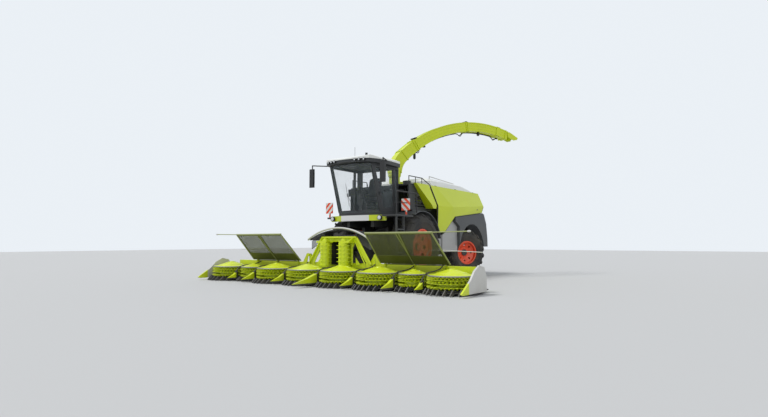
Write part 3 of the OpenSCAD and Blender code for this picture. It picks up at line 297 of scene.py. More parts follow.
def new_material(name: str, colour: Colour, alpha: float = 1.0
                 ) -> tuple[bpy.types.Material, NodeSheet, bpy.types.Node]:
    """Makes a material that has only its Principled shader.

    Args:
        name: the material's name.
        colour: its colour in plain views.
        alpha: its alpha in plain views.
    Returns:
        The material, its sheet and its shader node.
    """
    material = bpy.data.materials.new(name)
    material.use_nodes = True
    material.diffuse_color = (*colour, alpha)
    return material, NodeSheet(material.node_tree), material.node_tree.nodes["Principled BSDF"]


def put(name: str, data: bpy.types.ID) -> bpy.types.Object:
    """Puts an object into the scene.

    Args:
        name: the object's name.
        data: its mesh, lamp or camera.
    Returns:
        The object.
    """
    item = bpy.data.objects.new(name, data)
    bpy.context.scene.collection.objects.link(item)
    return item


@dataclass(frozen=True)
class Finish:
    """A painted, moulded or cast surface with dust, grain and scuffs."""

    name: str
    shade: Colour
    gloss: float = 0.35
    metallic: float = 0.0
    coat: float = 0.0
    dust: float = 0.35
    dust_reach: float = 2.2
    grain: float = 90.0
    bump: float = 0.02
    scuff: float = 0.0
    scuff_shade: Colour = (0.25, 0.24, 0.22)

    def colour(self, s: NodeSheet) -> object:
        """The clean colour before dust, which a finish with a pattern overrides."""
        return self.shade

    def build(self, effects: Effects) -> bpy.types.Material:
        """Makes the material.

        Args:
            effects: the shared shader groups.
        Returns:
            The material.
        """
        material, s, bsdf = new_material(self.name, self.shade)
        bsdf.inputs["Metallic"].default_value = self.metallic
        bsdf.inputs["Coat Weight"].default_value = self.coat
        base = self.colour(s)
        if self.scuff:
            mask = s.add("Group", node_tree=effects.scuffs)
            mask.inputs["Amount"].default_value = self.scuff
            base = s.mix(mask.outputs["Mask"], base, self.scuff_shade)
        dust = s.add("Group", node_tree=effects.dust)
        if isinstance(base, tuple):
            dust.inputs["Paint"].default_value = rgba(base)
        else:
            s.link(base, dust.inputs["Paint"])
        dust.inputs["Amount"].default_value = self.dust
        dust.inputs["Reach"].default_value = self.dust_reach
        dust.inputs["Gloss"].default_value = self.gloss
        s.link(dust.outputs["Colour"], bsdf.inputs["Base Color"])
        s.link(dust.outputs["Roughness"], bsdf.inputs["Roughness"])
        grain = s.add("Group", node_tree=effects.grain)
        grain.inputs["Size"].default_value = self.grain
        bump = s.add("Bump")
        bump.inputs["Strength"].default_value = self.bump * 10
        bump.inputs["Distance"].default_value = 0.002
        s.link(grain.outputs["Height"], bump.inputs["Height"])
        s.link(bump.outputs[0], bsdf.inputs["Normal"])
        return material


@dataclass(frozen=True)
class StripedFinish(Finish):
    """Red and white diagonal stripes of a warning board."""

    other: Colour = (0.80, 0.80, 0.78)
    pitch: float = 0.2

    def colour(self, s: NodeSheet) -> object:
        """Stripes across x + z, mirrored about the machine's middle."""
        xyz = s.axes()
        slant = s.math("ADD", s.math("ABSOLUTE", xyz.outputs["X"]), xyz.outputs["Z"])
        band = s.math("FRACT", s.math("DIVIDE", slant, self.pitch))
        return s.mix(s.math("GREATER_THAN", band, 0.5), self.shade, self.other)


@dataclass(frozen=True)
class Zone:
    """A box of the machine, alike on both sides, in which a finish takes another colour."""

    shade: Colour
    out: Span = OPEN
    along: Span = OPEN
    height: Span = OPEN

    def mask(self, s: NodeSheet, xyz: bpy.types.Node) -> object:
        """Tells where the box is: the product of a step at each limit that it has.

        Args:
            s: the material's sheet.
            xyz: the node that splits the coordinates.
        Returns:
            1 inside the box and 0 outside it.
        """
        result: object = 1.0
        values = (s.math("ABSOLUTE", xyz.outputs["X"]), xyz.outputs["Y"], xyz.outputs["Z"])
        for value, (low, high) in zip(values, (self.out, self.along, self.height)):
            if low > OPEN[0]:
                result = s.math("MULTIPLY", result, s.math("GREATER_THAN", value, low))
            if high < OPEN[1]:
                result = s.math("MULTIPLY", result, s.math("LESS_THAN", value, high))
        return result


@dataclass(frozen=True)
class ZonedFinish(Finish):
    """A finish with other colours in some zones, as on a rotor with dark knives below lime rings."""

    zones: tuple[Zone, ...] = ()

    def colour(self, s: NodeSheet) -> object:
        """Each zone's colour lies over the ones before it."""
        xyz = s.axes()
        result: object = self.shade
        for zone in self.zones:
            result = s.mix(zone.mask(s, xyz), result, zone.shade)
        return result


@dataclass(frozen=True)
class GlassFinish:
    """Thin clear or tinted pane."""

    name: str
    tint: Colour
    clear: float = 0.78

    def build(self, effects: Effects) -> bpy.types.Material:
        """Makes the pane's material: mostly see-through by alpha, with a sharp gloss.

        Args:
            effects: the shared shader groups.
        Returns:
            The material.
        """
        material, s, bsdf = new_material(self.name, self.tint, 1.0 - self.clear)
        bsdf.inputs["Base Color"].default_value = rgba(self.tint)
        bsdf.inputs["Roughness"].default_value = 0.04
        facing = s.math("POWER", s.add("LayerWeight").outputs["Facing"], 4.0)
        smear = s.ramp(s.noise(s.place(), 3.0, 5.0), 0.3, 0.8)
        alpha = s.math("ADD", 1.0 - self.clear, s.math("MULTIPLY", facing, 0.5), clamp=True)
        s.link(s.math("ADD", alpha, s.math("MULTIPLY", smear, 0.03), clamp=True), bsdf.inputs["Alpha"])
        return material


@dataclass(frozen=True)
class MeshFinish:
    """Wire mesh that is seen through between its wires."""

    name: str
    wire: Colour
    pitch: float = 0.02
    slant: float = 0.707        # rows up the leaning pane, as seen in z
    wire_share: float = 0.3
    open_alpha: float = 0.28

    def build(self, effects: Effects) -> bpy.types.Material:
        """Makes the mesh's material: opaque on wires across x and z, thin between them.

        Args:
            effects: the shared shader groups.
        Returns:
            The material.
        """
        material, s, bsdf = new_material(self.name, self.wire, 0.5)
        bsdf.inputs["Base Color"].default_value = rgba(self.wire)
        bsdf.inputs["Roughness"].default_value = 0.55
        xyz = s.axes()
        across = s.math("FRACT", s.math("DIVIDE", xyz.outputs["X"], self.pitch))
        along = s.math("FRACT", s.math("DIVIDE", xyz.outputs["Z"], self.pitch * self.slant))
        wires = s.math("MAXIMUM", s.math("LESS_THAN", across, self.wire_share),
                       s.math("LESS_THAN", along, self.wire_share))
        s.link(s.math("MAXIMUM", wires, self.open_alpha), bsdf.inputs["Alpha"])
        return material


class Paintwork:
    """All finishes, built once, and the solids that take each."""

    FINISHES: dict[str, object] = {
        "lime": Finish("lime_paint", Shade.LIME.value, gloss=0.36, coat=0.12, dust=0.10, grain=60.0,
                       bump=0.003),
        "white": Finish("white_paint", Shade.WHITE.value, gloss=0.30, coat=0.3, dust=0.12, grain=60.0,
                        bump=0.003),
        "red": Finish("red_paint", Shade.RED.value, gloss=0.35, coat=0.2, dust=0.35, dust_reach=1.8),
        "dark": Finish("dark_paint", Shade.DARK.value, gloss=0.45, dust=0.30, scuff=0.3),
        "grey": Finish("grey_plastic", Shade.GREY.value, gloss=0.55, dust=0.35, grain=160.0, bump=0.03),
        "silver": Finish("silver_paint", Shade.SILVER.value, gloss=0.38, metallic=0.2, dust=0.25),
        "black": Finish("black_tube", Shade.BLACK.value, gloss=0.4, dust=0.25),
        "rubber": Finish("tyre_rubber", Shade.RUBBER.value, gloss=0.75, dust=0.45, dust_reach=2.4,
                         grain=120.0, bump=0.06),
        "shield": ZonedFinish("shield_paint", Shade.OLIVE.value, gloss=0.45, dust=0.2,
                              zones=(Zone(Shade.MOSS.value, height=(SHIELD_HEAD_Z, FAR)),)),
        "moss": Finish("shield_ribs", Shade.MOSS.value, gloss=0.45, dust=0.2),
        "pale": Finish("pale_cap", Shade.PALE.value, gloss=0.4, dust=0.1),
        "rail": ZonedFinish("rail_tube", Shade.BLACK.value, gloss=0.4, dust=0.2,
                            zones=(Zone(Shade.PALE.value, along=(COVER_RAIL_Y, FAR),
                                        height=(COVER_RAIL_Z, FAR)),)),
        "hood": ZonedFinish("hood_paint", Shade.DARK.value, gloss=0.42, dust=0.25,
                            zones=(Zone(Shade.PALE.value, along=(-FAR, HOOP_Y)),)),
        "iron": Finish("engine_iron", Shade.IRON.value, gloss=0.6, dust=0.5, grain=60.0, bump=0.08),
        "lens": Finish("lamp_lens", (0.75, 0.78, 0.80), gloss=0.08, coat=0.6, dust=0.05, bump=0.0),
        "seat": Finish("seat_cloth", (0.03, 0.03, 0.034), gloss=0.85, dust=0.1, grain=420.0, bump=0.06),
        "board": StripedFinish("board_stripes", Shade.RED.value, gloss=0.3, dust=0.2, dust_reach=4.0),
        "rotor": ZonedFinish("rotor_paint", Shade.DARK.value, gloss=0.38, coat=0.1, dust=0.10, dust_reach=1.0,
                             zones=(Zone(Shade.LIME.value, height=(KNIFE_TOP, FAR)),)),
        "header": ZonedFinish("header_paint", Shade.DARK.value, gloss=0.36, coat=0.1, dust=0.25,
                              dust_reach=1.2, scuff=0.3,
                              zones=(Zone(Shade.LIME.value, height=(FLOOR_TOP, FAR)),
                                     Zone(Shade.DARK.value, along=ROTOR_SPAN, height=(FLOOR_TOP, FAR)),
                                     Zone(Shade.PALE.value, out=(END_SHIELD_X, FAR), along=(END_NOSE_Y, FAR)),
                                     Zone(Shade.LIME.value, out=(END_SHIELD_X, FAR),
                                          along=(-FAR, END_NOSE_Y)))),
        "bar": ZonedFinish("light_bar_paint", Shade.WHITE.value, gloss=0.3, coat=0.3, dust=0.15,
                           zones=(Zone(Shade.LIME.value, out=(BAR_WHITE_X, FAR)),)),
        "lamps": ZonedFinish("lamp_bodies", (0.62, 0.64, 0.66), gloss=0.15, dust=0.05, bump=0.0,
                             zones=(Zone(Shade.DARK.value, height=(ROOF_EDGE_Z, FAR)),)),
        "rim_steel": Finish("rolled_rim", (0.30, 0.31, 0.26), gloss=0.35, metallic=0.3, dust=0.2,
                            dust_reach=1.2, scuff=0.5),
        "silvered": Finish("mirror_silver", (0.75, 0.78, 0.80), gloss=0.04, metallic=1.0, dust=0.0, bump=0.0),
        "screen": Finish("screen_glass", (0.02, 0.03, 0.04), gloss=0.08, coat=0.5, dust=0.0, bump=0.0),
        "tail": Finish("tail_lens", (0.45, 0.012, 0.010), gloss=0.12, coat=0.6, dust=0.1, bump=0.0),
        "mesh": MeshFinish("window_mesh", (0.10, 0.105, 0.07)),
        "pane": GlassFinish("cab_pane", (0.40, 0.48, 0.50), clear=0.95),
    }
    NODES: dict[str, str] = {
        **{n: "lime" for n in ("spout_neck", "spout_arm", "spout_flap", "side_panel_left", "side_panel_right",
                               "header_frame", "intake_drum_left", "intake_drum_right", "corner_panels")},
        **{f"rotor_{i}": "rotor" for i in range(1, 9)},
        **{n: "white" for n in ("top_cover", "cab_roof")},
        **{n: "red" for n in ("rim_front_left", "rim_front_right", "rim_rear_left", "rim_rear_right")},
        **{n: "dark" for n in ("engine_bay", "service_deck", "platform", "cab_frame", "cab_door",
                               "roof_visor", "main_frame", "front_axle", "rear_axle", "chopper_housing",
                               "tow_hitch", "knuckle_left", "knuckle_right", "feeder_housing", "rear_cowl")},
        **{n: "header" for n in ("header_floor", "wing_left", "wing_right")},
        **{n: "shield" for n in ("crop_shield_left", "crop_shield_right")},
        **{n: "black" for n in ("steering_console", "mirrors")},
        **{n: "rubber" for n in ("tyre_front_left", "tyre_front_right", "tyre_rear_left", "tyre_rear_right")},
        **{n: "pane" for n in ("cab_glass", "cab_door_glass")},
        "side_skirts": "silver", "work_lamps": "lamps", "light_bar": "bar", "warning_boards": "board",
        "operator_seat": "seat", "fenders": "grey", "engine_block": "iron", "intake_hood": "hood",
        "hand_rails": "rail",
    }

    def __init__(self, effects: Effects) -> None:
        """Builds every finish.

        Args:
            effects: the shared shader groups.
        """
        self.materials = {key: finish.build(effects) for key, finish in self.FINISHES.items()}

    def paint(self, piece: bpy.types.Object, finish: str) -> None:
        """Gives every material slot of a piece one finish."""
        if not piece.material_slots:
            piece.data.materials.append(self.materials[finish])
        for slot in piece.material_slots:
            slot.material = self.materials[finish]

    def dress(self, nodes: dict[str, bpy.types.Object]) -> None:
        """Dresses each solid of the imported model.

        Args:
            nodes: the solids by name.
        """
        for name, solid in nodes.items():
            self.paint(solid, self.NODES[name])
            LOG.info("%s: %s", name, self.NODES[name])


@dataclass
class Studio:
    """Camera at the photograph's angle, pale floor and soft light."""

    eye: Point = (9.29, -13.10 + Y_SHIFT, 1.183)
    yaw: float = 35.28
    pitch: float = 3.76
    lens: float = 23.68
    floor_tone: float = 0.52
    sky: float = 0.58
    seen_sky: float = 0.92      # strength that the camera, glass and gloss see
    floor_side: float = 60.0

    def build(self) -> None:
        """Makes the camera, the floor, the lamps and the world."""
        scene = bpy.context.scene
        camera = put("camera", bpy.data.cameras.new("camera"))
        camera.data.lens = self.lens
        camera.data.sensor_width = 36.0
        camera.location = self.eye
        camera.rotation_euler = (math.radians(90 + self.pitch), 0.0, math.radians(self.yaw))
        scene.camera = camera
        self._floor()
        self._lamp("key", (-0.38, -0.36, 0.90), 20.0, 2.0)
        self._lamp("fill", (0.80, -0.45, 0.45), 50.0, 0.45)
        world = bpy.data.worlds.new("pale_room")
        world.use_nodes = True
        s = NodeSheet(world.node_tree)
        background = world.node_tree.nodes["Background"]
        background.inputs["Color"].default_value = (0.90, 0.95, 1.0, 1.0)
        path = s.add("LightPath")
        seen = s.math("MAXIMUM", path.outputs["Is Camera Ray"], path.outputs["Is Transmission Ray"])
        seen = s.math("MAXIMUM", seen, path.outputs["Is Glossy Ray"])
        s.link(s.math("ADD", self.sky, s.math("MULTIPLY", seen, self.seen_sky - self.sky)),
               background.inputs["Strength"])
        scene.world = world
        scene.view_settings.view_transform = "Standard"

    def _floor(self) -> None:
        """A wide plain floor of one even colour."""
        side = self.floor_side
        mesh = bpy.data.meshes.new("floor")
        mesh.from_pydata([(-side, -side, 0), (side, -side, 0), (side, side, 0), (-side, side, 0)], [],
                         [(0, 1, 2, 3)])
        tone = (self.floor_tone,) * 3
        material, _, bsdf = new_material("floor", tone)
        bsdf.inputs["Base Color"].default_value = rgba(tone)
        bsdf.inputs["Roughness"].default_value = 0.9
        mesh.materials.append(material)
        floor = put("floor", mesh)

    def _lamp(self, name: str, source: Point, spread: float, power: float) -> None:
        """A broad even lamp, far off.

        Args:
            name: the lamp's name.
            source: the direction that its light comes from.
            spread: how wide the source looks, in degrees.
            power: in watts per square metre.
        """
        data = bpy.data.lights.new(name, "SUN")
        data.angle = math.radians(spread)
        data.energy = power
        lamp = put(name, data)
        x, y, z = source
        lamp.rotation_euler = (math.atan2(math.hypot(x, y), z), 0.0, math.atan2(x, -y))


def metres(points: object) -> np.ndarray:
    """Points drawn in millimetres from the front axle, as metres in the model's frame."""
    return np.asarray(points, dtype=float) * 0.001 + np.array((0.0, Y_SHIFT, 0.0))


def curve_through(points: Sequence[Sequence[float]], steps: int) -> np.ndarray:
    """A smooth path through points: each span is a cubic whose slope at a point joins its neighbours.

    Args:
        points: the points that the path passes.
        steps: samples on each span.
    Returns:
        The path's points.
    """
    p = np.asarray(points, dtype=float)
    p = np.vstack([2 * p[0] - p[1], p, 2 * p[-1] - p[-2]])
    t = np.linspace(0.0, 1.0, steps, endpoint=False)[None, :, None]
    a, b, c, d = (p[i:len(p) - 3 + i][:, None, :] for i in range(4))
    spans = 0.5 * (2 * b + (c - a) * t + (2 * a - 5 * b + 4 * c - d) * t ** 2
                   + (3 * b - a - 3 * c + d) * t ** 3)
    return np.vstack([spans.reshape(-1, p.shape[1]), p[-2]])


def round_points(radius: float, count: int) -> np.ndarray:
    """Points on a circle at even steps: radius x (cos a, sin a).

    Args:
        radius: the circle's radius.
        count: how many points.
    Returns:
        The points, one in each row.
    """
    a = np.arange(count) * np.pi / (count / 2)
    return np.stack([radius * np.cos(a), radius * np.sin(a)], axis=1)


def grid_faces(rows: int, cols: int, around: bool) -> np.ndarray:
    """Faces between the rows of a grid of points.

    Args:
        rows: rows of points.
        cols: points in a row.
        around: whether a row's last point joins its first.
    Returns:
        Four point numbers for each face.
    """
    i, j = np.meshgrid(np.arange(rows - 1), np.arange(cols if around else cols - 1), indexing="ij")
    a, b = i * cols + j, i * cols + (j + 1) % cols
    return np.stack([a, b, b + cols, a + cols], axis=-1).reshape(-1, 4)


class Form:
    """Surfaces gathered in millimetres from the front axle, which become one piece."""

    def __init__(self) -> None:
        """Starts without surfaces."""
        self.points: list[np.ndarray] = []
        self.faces: list[list[int]] = []
        self.count = 0

    def add(self, points: np.ndarray, *faces: np.ndarray) -> "Form":
        """Adds a surface.

        Args:
            points: its points.
            faces: arrays of point numbers, a face in each row.
        Returns:
            The form, for the next surface.
        """
        for rows in faces:
            self.faces += (rows + self.count).tolist()
        self.points.append(points.reshape(-1, 3))
        self.count += self.points[-1].shape[0]
        return self

    def tube(self, path: np.ndarray, radius: float, sides: int = 10) -> "Form":
        """A round tube: each path point's ring is radius x (cos a across + sin a up), square to the path.

        Args:
            path: the points of the tube's middle line.
            radius: the tube's radius.
            sides: points on each ring.
        Returns:
            The form.
        """
        path = np.asarray(path, dtype=float)
        run = np.gradient(path, axis=0)
        run /= np.linalg.norm(run, axis=1, keepdims=True)
        across = np.cross(run, np.array((0.31, 0.17, 0.935)))
        across /= np.linalg.norm(across, axis=1, keepdims=True)
        up = np.cross(across, run)
        a = np.linspace(0.0, 2 * np.pi, sides, endpoint=False)[None, :, None]
        ring = path[:, None] + radius * (np.cos(a) * across[:, None] + np.sin(a) * up[:, None])
        last = (len(path) - 1) * sides
        caps = np.stack([np.arange(sides)[::-1], last + np.arange(sides)])
        return self.add(ring, grid_faces(len(path), sides, True), caps)

    def prisms(self, profile: object, origins: object, u: Point, v: Point, w: Point) -> "Form":
        """Straight prisms: a closed profile at each origin, in the plane of u and v, carried along w.

        Args:
            profile: the profile's points as (along u, along v).
            origins: where each prism's profile starts.
            u: unit vector of the profile's first value.
            v: unit vector of its second value.
            w: the carry, with its length.
        Returns:
            The form.
        """
        flat = np.asarray(profile, dtype=float)
        start = np.atleast_2d(np.asarray(origins, dtype=float))
        n, k = len(flat), len(start)
        loop = flat[:, :1] * np.array(u) + flat[:, 1:] * np.array(v)
        both = np.stack([loop, loop + np.array(w)])
        points = start[:, None, None] + both[None]
        base = (np.arange(k) * 2 * n)[:, None, None]
        walls = (grid_faces(2, n, True)[None] + base).reshape(-1, 4)
        caps = (np.stack([np.arange(n)[::-1], n + np.arange(n)])[None] + base).reshape(-1, n)
        return self.add(points, walls, caps)

    def blocks(self, centres: object, half: Point) -> "Form":
        """Boxes of one size about their centres, their upright edges cut off by a tenth of the least side.

        Args:
            centres: the boxes' middles.
            half: half sizes of each box.
        Returns:
            The form.
        """
        cut = min(half) * 0.2
        a, b = half[0], half[1]
        profile = [(-a + cut, -b), (a - cut, -b), (a, -b + cut), (a, b - cut),
                   (a - cut, b), (-a + cut, b), (-a, b - cut), (-a, -b + cut)]
        start = np.atleast_2d(np.asarray(centres, dtype=float)) - np.array((0.0, 0.0, half[2]))
        return self.prisms(profile, start, ACROSS, ALONG, (0, 0, 2 * half[2]))

    def pebble(self, centre: Point, half: Point, square: float = 0.35, rows: int = 16,
               cols: int = 32) -> "Form":
        """A closed rounded form: half x signed powers of cosines and sines, from a ball (1) to a box (0).

        Args:
            centre: its middle.
            half: its half sizes.
            square: the power.
            rows: rings from pole to pole.
            cols: points on each ring.
        Returns:
            The form.
        """
        v = np.linspace(-np.pi / 2, np.pi / 2, rows)[:, None]
        u = np.linspace(-np.pi, np.pi, cols, endpoint=False)[None, :]

        def power(x: np.ndarray) -> np.ndarray:
            """A signed power."""
            return np.sign(x) * np.abs(x) ** square

        xyz = np.stack([power(np.cos(v)) * power(np.cos(u)), power(np.cos(v)) * power(np.sin(u)),
                        power(np.sin(v)) * np.ones_like(u)], axis=-1)
        return self.add(np.array(centre) + xyz * np.array(half), grid_faces(rows, cols, True))

    def turned(self, profile: object, centre: Point, axis: Point, steps: int = 48,
               closed: bool = False) -> "Form":
        """A turned form: each profile point (radius, height) runs round the axis.

        Args:
            profile: radius and height of each point, from the axis to the axis unless closed.
            centre: the point of height 0.
            axis: unit vector of the axis.
            steps: points round the axis.
            closed: whether the profile is a closed loop off the axis.
        Returns:
            The form.
        """
        line = np.asarray(profile, dtype=float)
        line = np.vstack([line, line[:1]]) if closed else line
        n = np.array(axis, dtype=float)
        e = np.cross(n, (0.0, 0.0, 1.0) if abs(n[2]) < 0.9 else (1.0, 0.0, 0.0))
        e /= np.linalg.norm(e)
        f = np.cross(n, e)
        a = np.linspace(0.0, 2 * np.pi, steps, endpoint=False)[None, :, None]
        ring = np.cos(a) * e + np.sin(a) * f
        points = np.array(centre) + line[:, :1, None] * ring + line[:, 1:, None] * n
        return self.add(points, grid_faces(len(line), steps, True))

    def mirrored(self) -> "Form":
        """The form together with its mirror image across the machine's middle."""
        points = np.vstack(self.points)
        faces = list(self.faces)
        self.points = [points, points * np.array((-1.0, 1.0, 1.0))]
        self.faces = faces + [[i + len(points) for i in reversed(face)] for face in faces]
        self.count = 2 * len(points)
        return self

    def piece(self, name: str, body: str, finish: str, paintwork: Paintwork,
              crease: float = 35.0) -> bpy.types.Object:
        """Makes the form a piece that rides on a body.

        Args:
            name: the piece's name.
            body: the body that carries it.
            finish: the name of its finish.
            paintwork: the finishes.
            crease: edges sharper than this, in degrees, stay sharp.
        Returns:
            The piece.
        """
        mesh = bpy.data.meshes.new(name)
        mesh.from_pydata(metres(np.vstack(self.points)), [], self.faces)
        work = bmesh.new()
        work.from_mesh(mesh)
        bmesh.ops.remove_doubles(work, verts=work.verts, dist=1e-6)
        bmesh.ops.recalc_face_normals(work, faces=work.faces)
        work.to_mesh(mesh)
        work.free()
        mesh.shade_smooth()
        mesh.set_sharp_from_angle(angle=math.radians(crease))
        piece = put(name, mesh)
        paintwork.paint(piece, finish)
        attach(piece, body)
        LOG.info("%s rides on %s: %d faces", name, body, len(mesh.polygons))
        return piece


@dataclass
class SubAssembly:
    """A part of the machine whose fine pieces are painted from one set of finishes."""

    paintwork: Paintwork


@dataclass
class CabFittings(SubAssembly):
    """Seat pads, wiper, mirror glass, screen, levers and trim of the cab."""

    floor_z: float = 2020.0
    top_z: float = 3440.0
    sill_y: float = -1250.0
    lean: float = 430.0 / 1420.0
    half_width: float = 780.0
    screen_radius: float = 2500.0

    def screen_point(self, x: float, z: float, off: float) -> Point:
        """The point on the bowed windscreen at x and z, off millimetres ahead of the glass."""
        squared = self.screen_radius ** 2
        bow = math.sqrt(squared - x ** 2) - math.sqrt(squared - self.half_width ** 2)
        return (x, self.sill_y - bow - (z - self.floor_z) * self.lean - off, z)

    def build(self) -> None:
        """Makes the cab's pieces."""
        self._seat()
        self._wiper()
        self._mirror_glass()
        self._controls()
        self._trim()

    def _cushion(self, half: Point, crown: float, rows: int = 40, cols: int = 48) -> np.ndarray:
        """A crowned pad: a squared ball whose sides pull in between the corners and whose top bears channels.

        Args:
            half: half sizes, the last one the thickness.
            crown: rise of the middle over the edge.
            rows: rings from pole to pole.
            cols: points on each ring.
        Returns:
            The pad's points about its middle, row by row.
        """
        v = np.linspace(-np.pi / 2, np.pi / 2, rows)[:, None]
        u = np.linspace(-np.pi, np.pi, cols, endpoint=False)[None, :]
        cu, su = np.cos(u), np.sin(u)
        flat = (np.abs(cu) ** 6 + np.abs(su) ** 6) ** (-1.0 / 6.0)
        reach = np.abs(np.cos(v)) ** 0.35
        x, y = reach * flat * cu, reach * flat * su
        z = np.sign(np.sin(v)) * np.abs(np.sin(v)) ** 0.55
        pull = 1.0 - 0.035 * (1.0 - np.abs(np.clip(x * y, -1, 1))) * np.abs(z) ** 2
        rise = crown / half[2] * np.clip(1 - x ** 2, 0, 1) * np.clip(1 - y ** 2, 0, 1)
        channel = 0.16 * np.exp(-((np.abs(x) - 0.55) / 0.05) ** 2) * np.clip(1 - y ** 2, 0, 1)
        top = np.where(z > 0, z * (1 + rise - channel), z)
        return np.stack([x * pull * half[0], y * pull * half[1], top * half[2]], axis=-1)

    def _pad(self, name: str, centre: Point, half: Point, crown: float, tilt: float) -> None:
        """Places a cushion.

        Args:
            name: the piece's name.
            centre: its middle.
            half: its half sizes.
            crown: rise of its middle.
            tilt: turn about X in degrees.
        """
        points = self._cushion(half, crown)
        t = math.radians(tilt)
        turn = np.array(((1.0, 0, 0), (0, math.cos(t), math.sin(t)), (0, -math.sin(t), math.cos(t))))
        form = Form().add(points @ turn + np.array(centre),
                          grid_faces(points.shape[0], points.shape[1], True))
        piece = form.piece(name, "chassis", "seat", self.paintwork, 60.0)

    def _seat(self) -> None:
        """The seat in place of its plain solid: bellows base, pan, two pads and arm rests."""
        base = Form()
        z = np.linspace(0.0, 1.0, 29)
        wave = 165.0 + 12.0 * np.cos(z * 2 * np.pi * 4)
        loop = np.stack([np.concatenate([[0.0], wave, [0.0]]), np.concatenate([[0.0], z * 380.0, [380.0]])],
                        axis=1)
        base.turned(loop, (0.0, -645.0, self.floor_z), UP, 40)
        base.blocks([(0.0, -650.0, 2408.0)], (235.0, 215.0, 14.0))
        base.blocks([(-262.0, -505.0, 2560.0), (262.0, -505.0, 2560.0)], (12.0, 22.0, 75.0))
        seat_base = base.piece("seat_base", "chassis", "black", self.paintwork)
        arms = Form()
        for side in (-1, 1):
            arms.pebble((side * 282.0, -660.0, 2630.0), (36.0, 200.0, 28.0), 0.4)
        arms.piece("arm_rests", "chassis", "seat", self.paintwork)
        self._pad("seat_cushion", (0.0, -660.0, 2485.0), (245.0, 228.0, 62.0), 22.0, 0.0)
        self._pad("seat_back", (0.0, -455.0, 2860.0), (228.0, 300.0, 52.0), 20.0, 80.0)
        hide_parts("operator_seat")

    def _wiper(self) -> None:
        """Wiper on the windscreen: pivot, arm and a curved blade that follow the glass."""
        form = Form()
        form.pebble(self.screen_point(40.0, 2096.0, 26.0), (26.0, 26.0, 26.0), 0.7)
        form.tube([self.screen_point(40.0, 2100.0, 40.0), self.screen_point(-90.0, 2330.0, 44.0),
                   self.screen_point(-210.0, 2560.0, 34.0)], 7.0, 8)
        blade = [self.screen_point(-215.0 + 14.0 * t, 2230.0 + 660.0 * t, 20.0)
                 for t in np.linspace(0, 1, 14)]
        form.tube(blade, 6.0, 8)
        form.blocks([self.screen_point(-209.0, 2560.0, 26.0)], (9.0, 14.0, 40.0))
        form.piece("screen_wiper", "chassis", "black", self.paintwork)

    def _mirror_glass(self) -> None:
        """Silvered faces of the two outside mirrors, each a thin rounded plate, and a lip round it."""
        glass, lip = Form(), Form()
        loop = np.linspace(0, 2 * np.pi, 40, endpoint=False)
        circle = np.stack([np.cos(loop), np.sin(loop)], axis=1)
        power = np.sign(circle) * np.abs(circle) ** 0.35
        face = power * np.array((68.0, 266.0))
        rim = power * np.array((77.0, 276.0))
        centre = np.array((1320.0, -1866.0, self.top_z - 340.0))
        glass.prisms(face, [centre], ACROSS, UP, (0, 5.5, 0))
        closed = np.vstack([rim, rim[:1]])
        path = centre + closed[:, :1] * ACROSS + closed[:, 1:] * UP + ALONG
        lip.tube(path, 5.0, 6)
        glass.mirrored().piece("mirror_glass", "chassis", "silvered", self.paintwork)
        lip.mirrored().piece("mirror_lips", "chassis", "black", self.paintwork)

    def _controls(self) -> None:
        """Screen face, drive lever with its grip, pedals and the column's shroud."""
        face = Form().blocks([(-385.0, -1098.0, 2670.0)], (122.0, 3.0, 98.0))
        face.piece("screen_face", "chassis", "screen", self.paintwork)
        lever = Form()
        lever.tube([(-283.0, -810.0, 2650.0), (-286.0, -830.0, 2712.0), (-290.0, -846.0, 2752.0)], 10.0, 10)
        lever.pebble((-292.0, -852.0, 2790.0), (27.0, 24.0, 48.0), 0.6)
        lever.pebble((-283.0, -800.0, 2655.0), (34.0, 52.0, 12.0), 0.5)
        lever.blocks([(-150.0, -1120.0, 2050.0), (150.0, -1120.0, 2050.0)], (45.0, 60.0, 9.0))
        lever.pebble((0.0, -1105.0, 2560.0), (82.0, 70.0, 95.0), 0.5)
        lever.piece("driving_lever", "chassis", "black", self.paintwork)
        box = Form().pebble((-300.0, -640.0, 2560.0), (60.0, 190.0, 45.0), 0.35)
        box.piece("arm_console", "chassis", "grey", self.paintwork)

    def _trim(self) -> None:
        """Rubber seal round the windscreen."""
        seal = Form()
        across = np.linspace(-self.half_width + 12.0, self.half_width - 12.0, 40)
        for z in (2103.0, self.top_z - 8.0):
            seal.tube([self.screen_point(x, z, 10.0) for x in across], 9.0, 8)
        for side in (-1, 1):
            seal.tube([self.screen_point(side * (self.half_width - 8.0), z, 10.0)
                       for z in np.linspace(2060.0, self.top_z - 10.0, 12)], 10.0, 8)
        seal.piece("screen_seal", "chassis", "black", self.paintwork)


